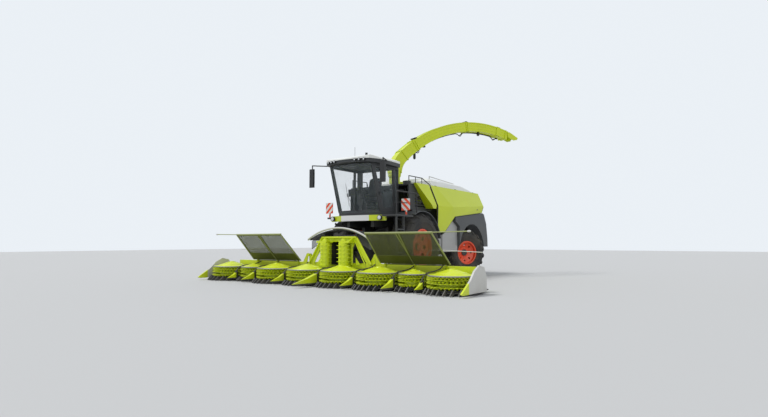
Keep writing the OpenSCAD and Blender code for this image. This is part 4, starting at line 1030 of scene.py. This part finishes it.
@dataclass
class Lamps(SubAssembly):
    """Bezels and clear fronts of the work and head lamps, the tail lamps and the plate holder."""

    visor_radius: float = 2350.0
    visor_y: float = 400.0
    visor_z: float = 3518.0
    bar_radius: float = 2960.0
    bar_y: float = 1450.0
    bar_z: float = 1872.5
    visor_x: tuple[float, ...] = (-660.0, -520.0, -380.0, 380.0, 520.0, 660.0)

    def build(self) -> None:
        """Makes the lamps' pieces."""
        rings, fronts = Form(), Form()
        for x in self.visor_x:
            y = self.visor_y - math.sqrt(self.visor_radius ** 2 - (abs(x) - 28.0) ** 2)
            self._lamp(rings, fronts, (x, y, self.visor_z), 28.0, 45.0)
        for x in (-880.0, 880.0):
            y = self.bar_y - math.sqrt(self.bar_radius ** 2 - (abs(x) - 62.0) ** 2)
            self._lamp(rings, fronts, (x, y, self.bar_z), 62.0, 60.0)
        rings.piece("lamp_bezels", "chassis", "black", self.paintwork)
        fronts.piece("lamp_fronts", "chassis", "lens", self.paintwork)
        tail = Form()
        for z in (2560.0, 2440.0):
            tail.pebble((1190.0 + (2560.0 - z) * 0.3, 4516.0, z), (58.0, 12.0, 44.0), 0.4)
        tail.mirrored().piece("tail_lamps", "chassis", "tail", self.paintwork)
        plate = Form().blocks([(0.0, 4514.0, 1500.0)], (250.0, 5.0, 58.0))
        plate.piece("plate_holder", "chassis", "white", self.paintwork)

    def _lamp(self, rings: Form, fronts: Form, at: Point, radius: float, depth: float) -> None:
        """A ring round a lamp's rim and its domed front.

        Args:
            rings: the form that gathers the rings.
            fronts: the form that gathers the fronts.
            at: middle of the lamp's back.
            radius: the lamp's radius.
            depth: how far it stands out.
        """
        loop = [(radius + 1.0, 0.0), (radius + 9.0, 0.0), (radius + 11.0, depth), (radius + 4.0, depth + 8.0),
                (radius - 3.0, depth + 6.0), (radius - 1.0, depth - 4.0), (radius + 1.0, depth - 4.0)]
        rings.turned(loop, at, FORWARD, 28, closed=True)
        dome = [(0.0, depth + 7.0), (radius * 0.5, depth + 6.0), (radius * 0.9, depth + 2.5),
                (radius - 2.0, depth + 0.5), (0.0, depth + 0.4)]
        fronts.turned(dome, at, FORWARD, 28)


@dataclass
class HeaderDetails(SubAssembly):
    """Rotor crowns and teeth, shield mesh, guard fingers, rods, braces and pipes of the header."""

    rotor_x: tuple[float, ...] = (615.0, 1845.0, 2865.0, 3885.0)
    rotor_y: float = -2780.0
    big: float = 590.0
    small: float = 385.0
    top_z: float = 435.0
    cone_foot: float = 0.78     # a rotor's cone ends at this share of its radius
    cone_run: float = 0.58      # and starts this share further in
    shield_y: float = -2160.0
    shield_z: float = 600.0
    windows: tuple[tuple[float, float], ...] = ((1490.0, 2470.0), (2510.0, 3490.0))
    arch_radius: float = 2275.0
    arch_z: float = -770.0

    def build(self) -> None:
        """Makes the header's pieces."""
        for k, x in enumerate(self.rotor_x):
            radius = self.small if k == 2 else self.big
            self._crown(5 + k, x, radius)
            self._crown(4 - k, -x, radius)
        for side, word in SIDES:
            self._window_mesh(side, word)
            self._shield_ribs(side, word)
            self._guards(self.rotor_x[1:], (self.big, self.small, self.big), side, f"guard_fingers_{word}",
                         f"header_wing_{word}")
            self._arms([side * 2460.0, side * 3275.0], f"divider_arms_{word}", f"header_wing_{word}")
            self._guide_rod(side, word)
        self._guards((-self.rotor_x[0], self.rotor_x[0]), (self.big, self.big), 1, "guard_fingers_middle",
                     "header")
        self._arms([-1230.0, 0.0, 1230.0], "divider_arms_middle", "header")
        self._lattice()
        self._louvres()
        self._hoses()

    def _cone(self, share: object, rise: float) -> object:
        """Height of a rotor's cone at a share of its radius: it falls evenly from rise to 0."""
        return (self.cone_foot - share) / self.cone_run * rise

    def _crown(self, number: int, x: float, radius: float) -> None:
        """Rolled rim round a rotor's top, its pressed ring, eight pairs of ribs and the bolted hub cover.

        Args:
            number: the rotor's number.
            x: its place across the machine.
            radius: its radius at the teeth.
        """
        edge = radius * 0.93
        a = np.linspace(0, 2 * np.pi, 12, endpoint=False)
        rim = Form()
        rim.turned(np.stack([edge + 3 + 12 * np.cos(a), self.top_z - 15 + 17 * np.sin(a)], axis=1),
                   (x, self.rotor_y, 0.0), UP, 72, closed=True)
        rim.piece(f"rotor_rim_{number}", f"cutting_rotor_{number}", "rim_steel", self.paintwork)
        self._teeth(number, x, radius)
        rise = radius * 0.19
        ring = np.array((0.49, 0.50, 0.59, 0.60))
        press = np.stack([ring * radius, self._cone(ring, rise) + (-2.0, 6.0, 6.0, -2.0)], axis=1)
        top = Form().turned(press, (x, self.rotor_y, self.top_z), UP, 72, closed=True)
        cover = np.array([(0.0, 24.0), (0.09, 24.0), (0.12, 20.0), (0.13, 6.0), (0.19, 5.0), (0.20, -3.0),
                          (0.0, -3.0)])
        top.turned(cover * (radius, 1.0), (x, self.rotor_y, self.top_z + rise), UP, 48)
        around = np.hstack([round_points(1, 8), np.zeros((8, 1))])
        middle = np.array((x, self.rotor_y, self.top_z))
        for way in around:
            for ends in ((0.24, 0.48), (0.61, 0.76)):
                top.tube([middle + way * radius * q + (0, 0, self._cone(q, rise)) for q in ends], 5.0, 6)
        top.prisms(round_points(8, 6), middle + around * radius * 0.16 + (0, 0, rise + 4), ACROSS, ALONG,
                   (0, 0, 8))
        top.piece(f"rotor_crown_{number}", f"cutting_rotor_{number}", "lime", self.paintwork)

    def _teeth(self, number: int, x: float, radius: float) -> None:
        """Rows of teeth round a rotor: pyramids turned by even angles, every other row shifted.

        Args:
            number: the rotor's number.
            x: its place across the machine.
            radius: its radius at the teeth.
        """
        count = int(radius / 16.0)
        row, k = np.meshgrid(np.arange(4), np.arange(count), indexing="ij")
        angle = ((k + 0.5 * (row % 2)) * 2 * np.pi / count).ravel()[:, None]
        z = np.array((142.0, 286.0, 366.0, 394.0))[row].ravel()[:, None]
        out = radius - np.array([[76.0, 76.0, 76.0, 76.0, 6.0]])
        aside = np.array([[-20.0, 20.0, 20.0, -20.0, 0.0]])
        high = np.array([[-20.0, -20.0, 20.0, 20.0, 4.0]])
        points = np.stack([x + out * np.cos(angle) - aside * np.sin(angle),
                           self.rotor_y + out * np.sin(angle) + aside * np.cos(angle), z + high], axis=-1)
        first = (np.arange(angle.size) * 5)[:, None]
        sides = np.concatenate([first + np.array([[i, (i + 1) % 4, 4]]) for i in range(4)])
        form = Form().add(points, sides, first + np.array([[3, 2, 1, 0]]))
        form.piece(f"rotor_teeth_{number}", f"cutting_rotor_{number}", "lime", self.paintwork)

    @staticmethod
    def _window(low: float, high: float, grow: float) -> list[tuple[float, float]]:
        """Corners of a shield's window as (across, up the slope), moved outwards by grow."""
        return [(low + 20 - grow, 330 - grow), (low + 45 - grow, 1080 + grow),
                (high - 45 + grow, 1080 + grow), (high - 20 + grow, 330 - grow)]

    def _window_mesh(self, side: int, word: str) -> None:
        """Mesh panes in a shield's windows, flat plates that lean forward at 45 degrees, and their frames.

        Args:
            side: 1 for the driver's left, -1 for the right.
            word: the side in the piece's name.
        """
        s = SLANT
        pane, edge = Form(), Form()
        for low, high in self.windows:
            pane.prisms([(side * x, run) for x, run in self._window(low, high, 3)],
                        [(0.0, self.shield_y + 2 * s, self.shield_z + 2 * s)],
                        ACROSS, (0, -s, s), (0, -4 * s, -4 * s))
            corners = self._window(low, high, 0)
            edge.tube([self._shield_spot(side * x, run, 0.0) for x, run in (*corners, corners[0])], 9.0, 6)
        pane.piece(f"shield_mesh_{word}", f"shield_{word}", "mesh", self.paintwork)
        edge.piece(f"shield_frames_{word}", f"shield_{word}", "shield", self.paintwork)

    def _shield_spot(self, x: float, run: float, off: float = 10.0) -> Point:
        """The point of the shield's front at x, run millimetres up its slope of 45 degrees."""
        s = SLANT
        return (x, self.shield_y - (run + off) * s, self.shield_z + (run - off) * s)

    def _shield_ribs(self, side: int, word: str) -> None:
        """Tubes on a shield's edges, a narrow V between its windows, and the bar's end knob.

        Args:
            side: 1 for the driver's left, -1 for the right.
            word: the side in the piece's name.
        """
        ribs = Form()
        for low, high, radius in ((1468.0, 1526.0, 15.0), (3532.0, 3454.0, 19.0)):
            ribs.tube([self._shield_spot(side * low, 60.0), self._shield_spot(side * high, 1112.0)], radius,
                      10)
        for spread in (-44.0, 44.0):
            ribs.tube([self._shield_spot(side * 2490.0, 70.0), self._shield_spot(side * 2490.0, 360.0),
                       self._shield_spot(side * (2490.0 + spread), 1112.0)], 11.0, 8)
        ribs.piece(f"shield_ribs_{word}", f"shield_{word}", "moss", self.paintwork)
        knob = Form().pebble(self._shield_spot(side * 4410.0, 1150.0, 0.0), (44.0, 24.0, 24.0), 0.7)
        knob.piece(f"shield_knob_{word}", f"shield_{word}", "pale", self.paintwork)

    def _guards(self, centres: Sequence[float], radii: Sequence[float], side: int, name: str,
                body: str) -> None:
        """Guard fingers ahead of the knives: one side view, carried sideways at even steps round a rotor.

        Args:
            centres: the rotors' places across the machine.
            radii: their radii.
            side: 1 for the driver's left, -1 for the right.
            name: the piece's name.
            body: the body that carries it.
        """
        blade = [(-70, 30), (-66, 86), (-8, 90), (17, 140), (40, 142), (160, 44), (172, 18), (150, 10)]
        form = Form()
        for centre, radius in zip(centres, radii):
            steps = int(radius * 1.5 / 125.0)
            dx = np.linspace(-0.75 * radius, 0.75 * radius, steps)
            front = self.rotor_y - np.sqrt(radius ** 2 - dx ** 2)
            starts = np.stack([side * (centre + dx) - 12.0, front, np.zeros_like(dx)], axis=1)
            form.prisms(blade, starts, FORWARD, UP, (24.0, 0, 0))
        form.piece(name, body, "dark", self.paintwork)

    def _arms(self, across: Sequence[float], name: str, body: str) -> None:
        """Dark arms that run from the dividers up and back over the gaps between the rotors.

        Args:
            across: the arms' places across the machine.
            name: the piece's name.
            body: the body that carries them.
        """
        form = Form()
        for x in across:
            path = curve_through([(x, -3150.0, 250.0), (x, -3060.0, 345.0), (x, -2960.0, 420.0),
                                  (x, -2800.0, 462.0), (x, -2500.0, 480.0), (x, -2260.0, 520.0),
                                  (x, -2125.0, 575.0)], 8)
            form.tube(path, 14.0, 10)
        form.piece(name, body, "dark", self.paintwork)

    def _guide_rod(self, side: int, word: str) -> None:
        """Thin pale rod behind a shield that guides tall stalks to the outside.

        Args:
            side: 1 for the driver's left, -1 for the right.
            word: the side in the piece's name.
        """
        path = curve_through([(side * 2800.0, -2060.0, 580.0), (side * 2790.0, -2072.0, 760.0),
                              (side * 2850.0, -2080.0, 920.0), (side * 3010.0, -2080.0, 975.0),
                              (side * 3500.0, -2080.0, 962.0), (side * 4320.0, -2080.0, 934.0)], 12)
        Form().tube(path, 9.0, 8).piece(f"guide_rod_{word}", f"header_wing_{word}", "pale", self.paintwork)

    def _louvres(self) -> None:
        """Slanted upright slats below the hood's arch, their tops 18 mm under it, on a thin lower bar."""
        form = Form()
        slat = [(0, 0), (8, 0), (44, 62), (36, 62)]
        for x in np.arange(655.0, 1060.0, 44.0):
            top = self.arch_z + math.sqrt(self.arch_radius ** 2 - (x + 44.0) ** 2) - 18.0
            form.prisms(slat, [(x, -2150.0, top - 235.0)], ACROSS, ALONG, (0, 0, 235.0))
        lower = [(x, -2120.0, self.arch_z + math.sqrt(self.arch_radius ** 2 - (x + 20.0) ** 2) - 250.0)
                 for x in np.linspace(640.0, 1080.0, 12)]
        form.tube(lower, 9.0, 8)
        form.mirrored().piece("hood_louvres", "header", "grey", self.paintwork)

    def _lattice(self) -> None:
        """Tubes and gussets that brace the green frame, with the drums' bearing plates."""
        form = Form()
        form.tube([(650.0, -2172.0, 1286.0), (1130.0, -2172.0, 560.0)], 30.0, 12)
        form.tube([(480.0, -2180.0, 545.0), (480.0, -2180.0, 1180.0)], 22.0, 12)
        form.tube([(600.0, -2180.0, 1165.0), (930.0, -2180.0, 570.0)], 16.0, 10)
        form.tube([(240.0, -2440.0, 1192.0), (600.0, -2440.0, 1192.0)], 14.0, 10)
        form.blocks([(335.0, -2370.0, 1196.0)], (120.0, 85.0, 14.0))
        form.turned([(0.0, 60.0), (44.0, 60.0), (58.0, 48.0), (64.0, 0.0), (0.0, 0.0)],
                    (335.0, -2370.0, 1206.0), UP, 30)
        form.prisms([(0, 0), (150, 0), (0, 190)], [(640.0, -2214.0, 556.0)], ACROSS, UP, (0, 14, 0))
        form.mirrored()
        form.tube([(-640.0, -2170.0, 1300.0), (640.0, -2170.0, 1300.0)], 34.0, 14)
        form.piece("frame_braces", "header", "lime", self.paintwork)

    def _hoses(self) -> None:
        """Clipped hydraulic pipes that run down the feed channel's sides to the header's coupler."""
        form = Form()
        for k, off in enumerate((0.0, 26.0, 52.0)):
            path = curve_through([(358.0, -900.0, 1180.0 - off), (358.0, -1300.0, 1150.0 - off),
                                  (362.0, -1750.0, 1010.0 - off), (420.0, -2010.0, 905.0 - off),
                                  (560.0, -2060.0, 840.0 - off)], 10)
            form.tube(path, 10.0, 8)
        form.blocks([(350.0, -1300.0, 1122.0), (350.0, -1740.0, 985.0)], (12.0, 14.0, 52.0))
        form.blocks([(590.0, -2060.0, 815.0)], (60.0, 32.0, 46.0))
        form.mirrored().piece("header_pipes", "header", "black", self.paintwork)


@dataclass
class SpoutDetails(SubAssembly):
    """Joint bands, side beads, pipes and clips of the discharge spout."""

    turn: float = 25.0
    foot_y: float = 800.0
    width: float = 320.0
    back_radius: float = 5120.0
    depth: float = 300.0
    elbow_depth: float = 370.0
    centre: tuple[float, float] = (3500.0, 390.0)
    long_start: float = 43.0
    long_end: float = -15.0

    def spot(self, slope: np.ndarray, inset: object, across: object) -> np.ndarray:
        """Points on the spout's long arc: centre + (radius - inset) turned by the slope, then across.

        Args:
            slope: slope of the arc in degrees.
            inset: distance below the back.
            across: distance to the spout's left.
        Returns:
            The points in the machine's frame.
        """
        a = np.radians(np.asarray(slope, dtype=float))
        r = self.back_radius - np.asarray(inset, dtype=float)
        along, z = self.centre[0] - r * np.sin(a), self.centre[1] + r * np.cos(a)
        t = math.radians(90.0 - self.turn)
        y = np.asarray(across, dtype=float) * np.ones_like(along)
        return np.stack([along * math.cos(t) - y * math.sin(t),
                         self.foot_y + along * math.sin(t) + y * math.cos(t), z], axis=-1)

    def depth_at(self, slope: object) -> np.ndarray:
        """Depth of the duct at a slope, which grows towards the elbow with the square of the run."""
        run = (np.asarray(slope, dtype=float) - self.long_end) / (self.long_start - self.long_end)
        return self.depth + (self.elbow_depth - self.depth) * run ** 2

    def build(self) -> None:
        """Makes the spout's pieces."""
        self._bands()
        self._beads()
        self._pipes()

    def _bands(self) -> None:
        """Flange frames round the duct where its sections join, and the wider collar ahead of the flap."""
        form = Form()
        inner, outer = self.width / 2 + 4, self.width / 2 + 22
        for slope, wide in ((42.0, 0.16), (35.6, 0.16), (34.6, 0.16), (7.9, 0.16), (7.1, 0.16),
                            (-9.4, 0.95), (-13.6, 0.16)):
            depth = float(self.depth_at(slope))
            a0, a1 = slope - wide, slope + wide
            for low, high, left, right in ((-26.0, -12.0, -outer, outer),
                                           (depth, depth + 20.0, -outer, outer),
                                           (-26.0, depth + 20.0, -outer, -inner),
                                           (-26.0, depth + 20.0, inner, outer)):
                ring = np.stack([self.spot(np.array((a0, a0, a1, a1)), np.array((low, high, high, low)), y)
                                 for y in (left, right)])
                form.add(ring, grid_faces(2, 4, True), np.array([[3, 2, 1, 0], [4, 5, 6, 7]]))
        form.piece("spout_bands", "spout", "lime", self.paintwork)

    def _beads(self) -> None:
        """Rolled beads along both walls of the duct, a third and two thirds down its depth."""
        form = Form()
        slope = np.linspace(self.long_start - 3.0, self.long_end + 2.5, 60)
        for side in (-1, 1):
            for part in (0.36, 0.70):
                form.tube(self.spot(slope, self.depth_at(slope) * part, side * (self.width / 2 - 2.0)), 9.0,
                          8)
        form.piece("spout_beads", "spout", "lime", self.paintwork)

    def _pipes(self) -> None:
        """Two pipes under the duct that bow away at its joints, and its clips, lamp, cylinder and latches."""
        slope = np.linspace(38.0, self.long_end + 3.0, 200)
        form = Form()
        for across, sag in ((96.0, 110.0), (126.0, 70.0)):
            droop = sag * sum(np.exp(-((slope - joint) / 1.1) ** 2) for joint in (34.0, 9.6, -9.6))
            form.tube(self.spot(slope, self.depth_at(slope) + 18.0 + droop, across), 13.0, 8)
        form.piece("spout_pipes", "spout", "black", self.paintwork)
        clips = Form()
        for angle in (38.0, 31.0, 25.0, 19.0, 13.0, 6.5, 2.0, -3.0, -6.8, -11.6):
            centre = self.spot(angle, self.depth_at(angle) + 12.0, 110.0)
            clips.pebble(tuple(centre), (34.0, 34.0, 17.0), 0.4, 8, 16)
        for angle, drop, half in ((0.6, 60.0, (48.0, 48.0, 78.0)), (37.5, 90.0, (40.0, 40.0, 125.0)),
                                  (31.2, 30.0, (52.0, 52.0, 34.0))):
            clips.pebble(tuple(self.spot(angle, self.depth_at(angle) + drop, -40.0)), half, 0.6)
        for angle in (7.5, 33.4):
            for across in (-118.0, 0.0, 118.0):
                clips.pebble(tuple(self.spot(angle, -34.0, across)), (44.0, 44.0, 20.0), 0.45, 10, 20)
        clips.piece("spout_clips", "spout", "black", self.paintwork)


@dataclass
class BodyDetails(SubAssembly):
    """Seals, latches and slats of the covers, rails' middle bars, treads, hub caps and tyre rings."""

    wheel_x: float = 1170.0
    wheel_z: float = 1020.0

    def build(self) -> None:
        """Makes the body's pieces."""
        self._panel_seals()
        self._cover_vents()
        self._deck_treads()
        self._rail_bars()
        self._wheel_caps()
        self._sidewalls()

    def _panel_seals(self) -> None:
        """Rubber edging along the lower edge of each side panel, and its two latches."""
        rim = [(1385.0, 4372.0, 2252.0), (1426.0, 2152.0, 2022.0), (1346.0, 1582.0, 1502.0),
               (1331.0, 1132.0, 1502.0), (1394.0, 1057.0, 2330.0), (1222.0, 862.0, 2975.0)]
        share = np.linspace(0, 1, 6, endpoint=False)[:, None]
        for side, word in SIDES:
            form = Form()
            points = np.array(rim) * np.array((side, 1, 1))
            fine = np.vstack([a + (b - a) * share for a, b in zip(points, points[1:])] + [points[-1:]])
            form.tube(fine, 9.0, 6)
            for y in (2700.0, 3900.0):
                form.pebble((side * 1425.0, y, 2262.0 + (y - 2700.0) * 0.07), (14.0, 42.0, 20.0), 0.45, 10,
                            16)
            form.piece(f"panel_edging_{word}", f"panel_{word}", "black", self.paintwork)

    def _cover_vents(self) -> None:
        """Slotted vent across the white cover's top, a row of slanted slats."""
        form = Form()
        y = np.arange(1560.0, 2560.0, 62.0)
        spots = np.stack([np.full_like(y, -430.0), y, np.full_like(y, 3298.0)], axis=1)
        form.prisms([(0, 0), (34, 20), (42, 20), (8, 0)], spots, ALONG, UP, (860, 0, 0))
        form.piece("cover_slats", "chassis", "grey", self.paintwork)

    def _deck_treads(self) -> None:
        """Rows of raised treads on the platform, on the driver's left."""
        form = Form()
        for inner, front, rear, half in ((1070.0, -1480.0, -1270.0, (14.0, 5.0, 3.0)),
                                         (830.0, -1220.0, -660.0, (5.0, 14.0, 3.0))):
            x, y = np.meshgrid(np.arange(inner, 1500.0, 40.0), np.arange(front, rear, 40.0))
            form.blocks(np.stack([x.ravel(), y.ravel(), np.full(x.size, 1952.0)], axis=1), half)
        form.piece("platform_treads", "chassis", "dark", self.paintwork)

    def _rail_bars(self) -> None:
        """Middle bars and posts of the rails round the deck and the platform."""
        form = Form()
        form.tube([(1090.0, -200.0, 2900.0), (1090.0, 560.0, 2900.0), (1240.0, 858.0, 2900.0)], 12.0, 8)
        for y in (560.0, 180.0):
            form.tube([(1090.0, y, 3185.0), (1090.0, y, 2620.0)], 12.0, 8)
        form.mirrored()
        form.tube([(1500.0, -1490.0, 2290.0), (1500.0, -420.0, 2290.0)], 12.0, 8)
        form.piece("rail_bars", "chassis", "black", self.paintwork)

    def _wheel_caps(self) -> None:
        """Domed caps with six bolts on the hubs of the front wheels."""
        bolts = round_points(84, 6)
        for side, word in SIDES:
            form = Form()
            x = side * (self.wheel_x + 120.0)
            form.turned([(0.0, 30.0), (50.0, 28.0), (84.0, 18.0), (98.0, 0.5), (0.0, 0.5)],
                        (x, 0.0, self.wheel_z), (side, 0, 0), 40)
            spots = np.stack([np.full(6, x), bolts[:, 0], self.wheel_z + bolts[:, 1]], axis=1)
            form.prisms(round_points(8, 6), spots, ALONG, UP, (side * 26.0, 0, 0))
            form.piece(f"hub_cap_{word}", f"wheel_front_{word}", "red", self.paintwork)

    def _sidewalls(self) -> None:
        """Raised rings on both walls of each front tyre."""
        a = np.linspace(0, 2 * np.pi, 8, endpoint=False)
        for side, word in SIDES:
            form = Form()
            for off, radius in ((348.0, 752.0), (-348.0, 752.0), (300.0, 610.0), (-300.0, 610.0)):
                loop = np.stack([radius + 9 * np.cos(a), off + 7 * np.sin(a)], axis=1)
                form.turned(loop, (side * self.wheel_x, 0.0, self.wheel_z), (side, 0, 0), 72, closed=True)
            form.piece(f"tyre_rings_{word}", f"wheel_front_{word}", "rubber", self.paintwork)


def main() -> None:
    """Builds the studio, dresses the solids and adds the fine pieces."""
    logging.basicConfig(level=logging.INFO, format="%(message)s")
    Studio().build()
    paintwork = Paintwork(Effects())
    paintwork.dress(frame["nodes"])
    for part in (CabFittings, Lamps, HeaderDetails, SpoutDetails, BodyDetails):
        LOG.info("%s", part.__name__)
        part(paintwork).build()


if __name__ == "__main__":
    main()
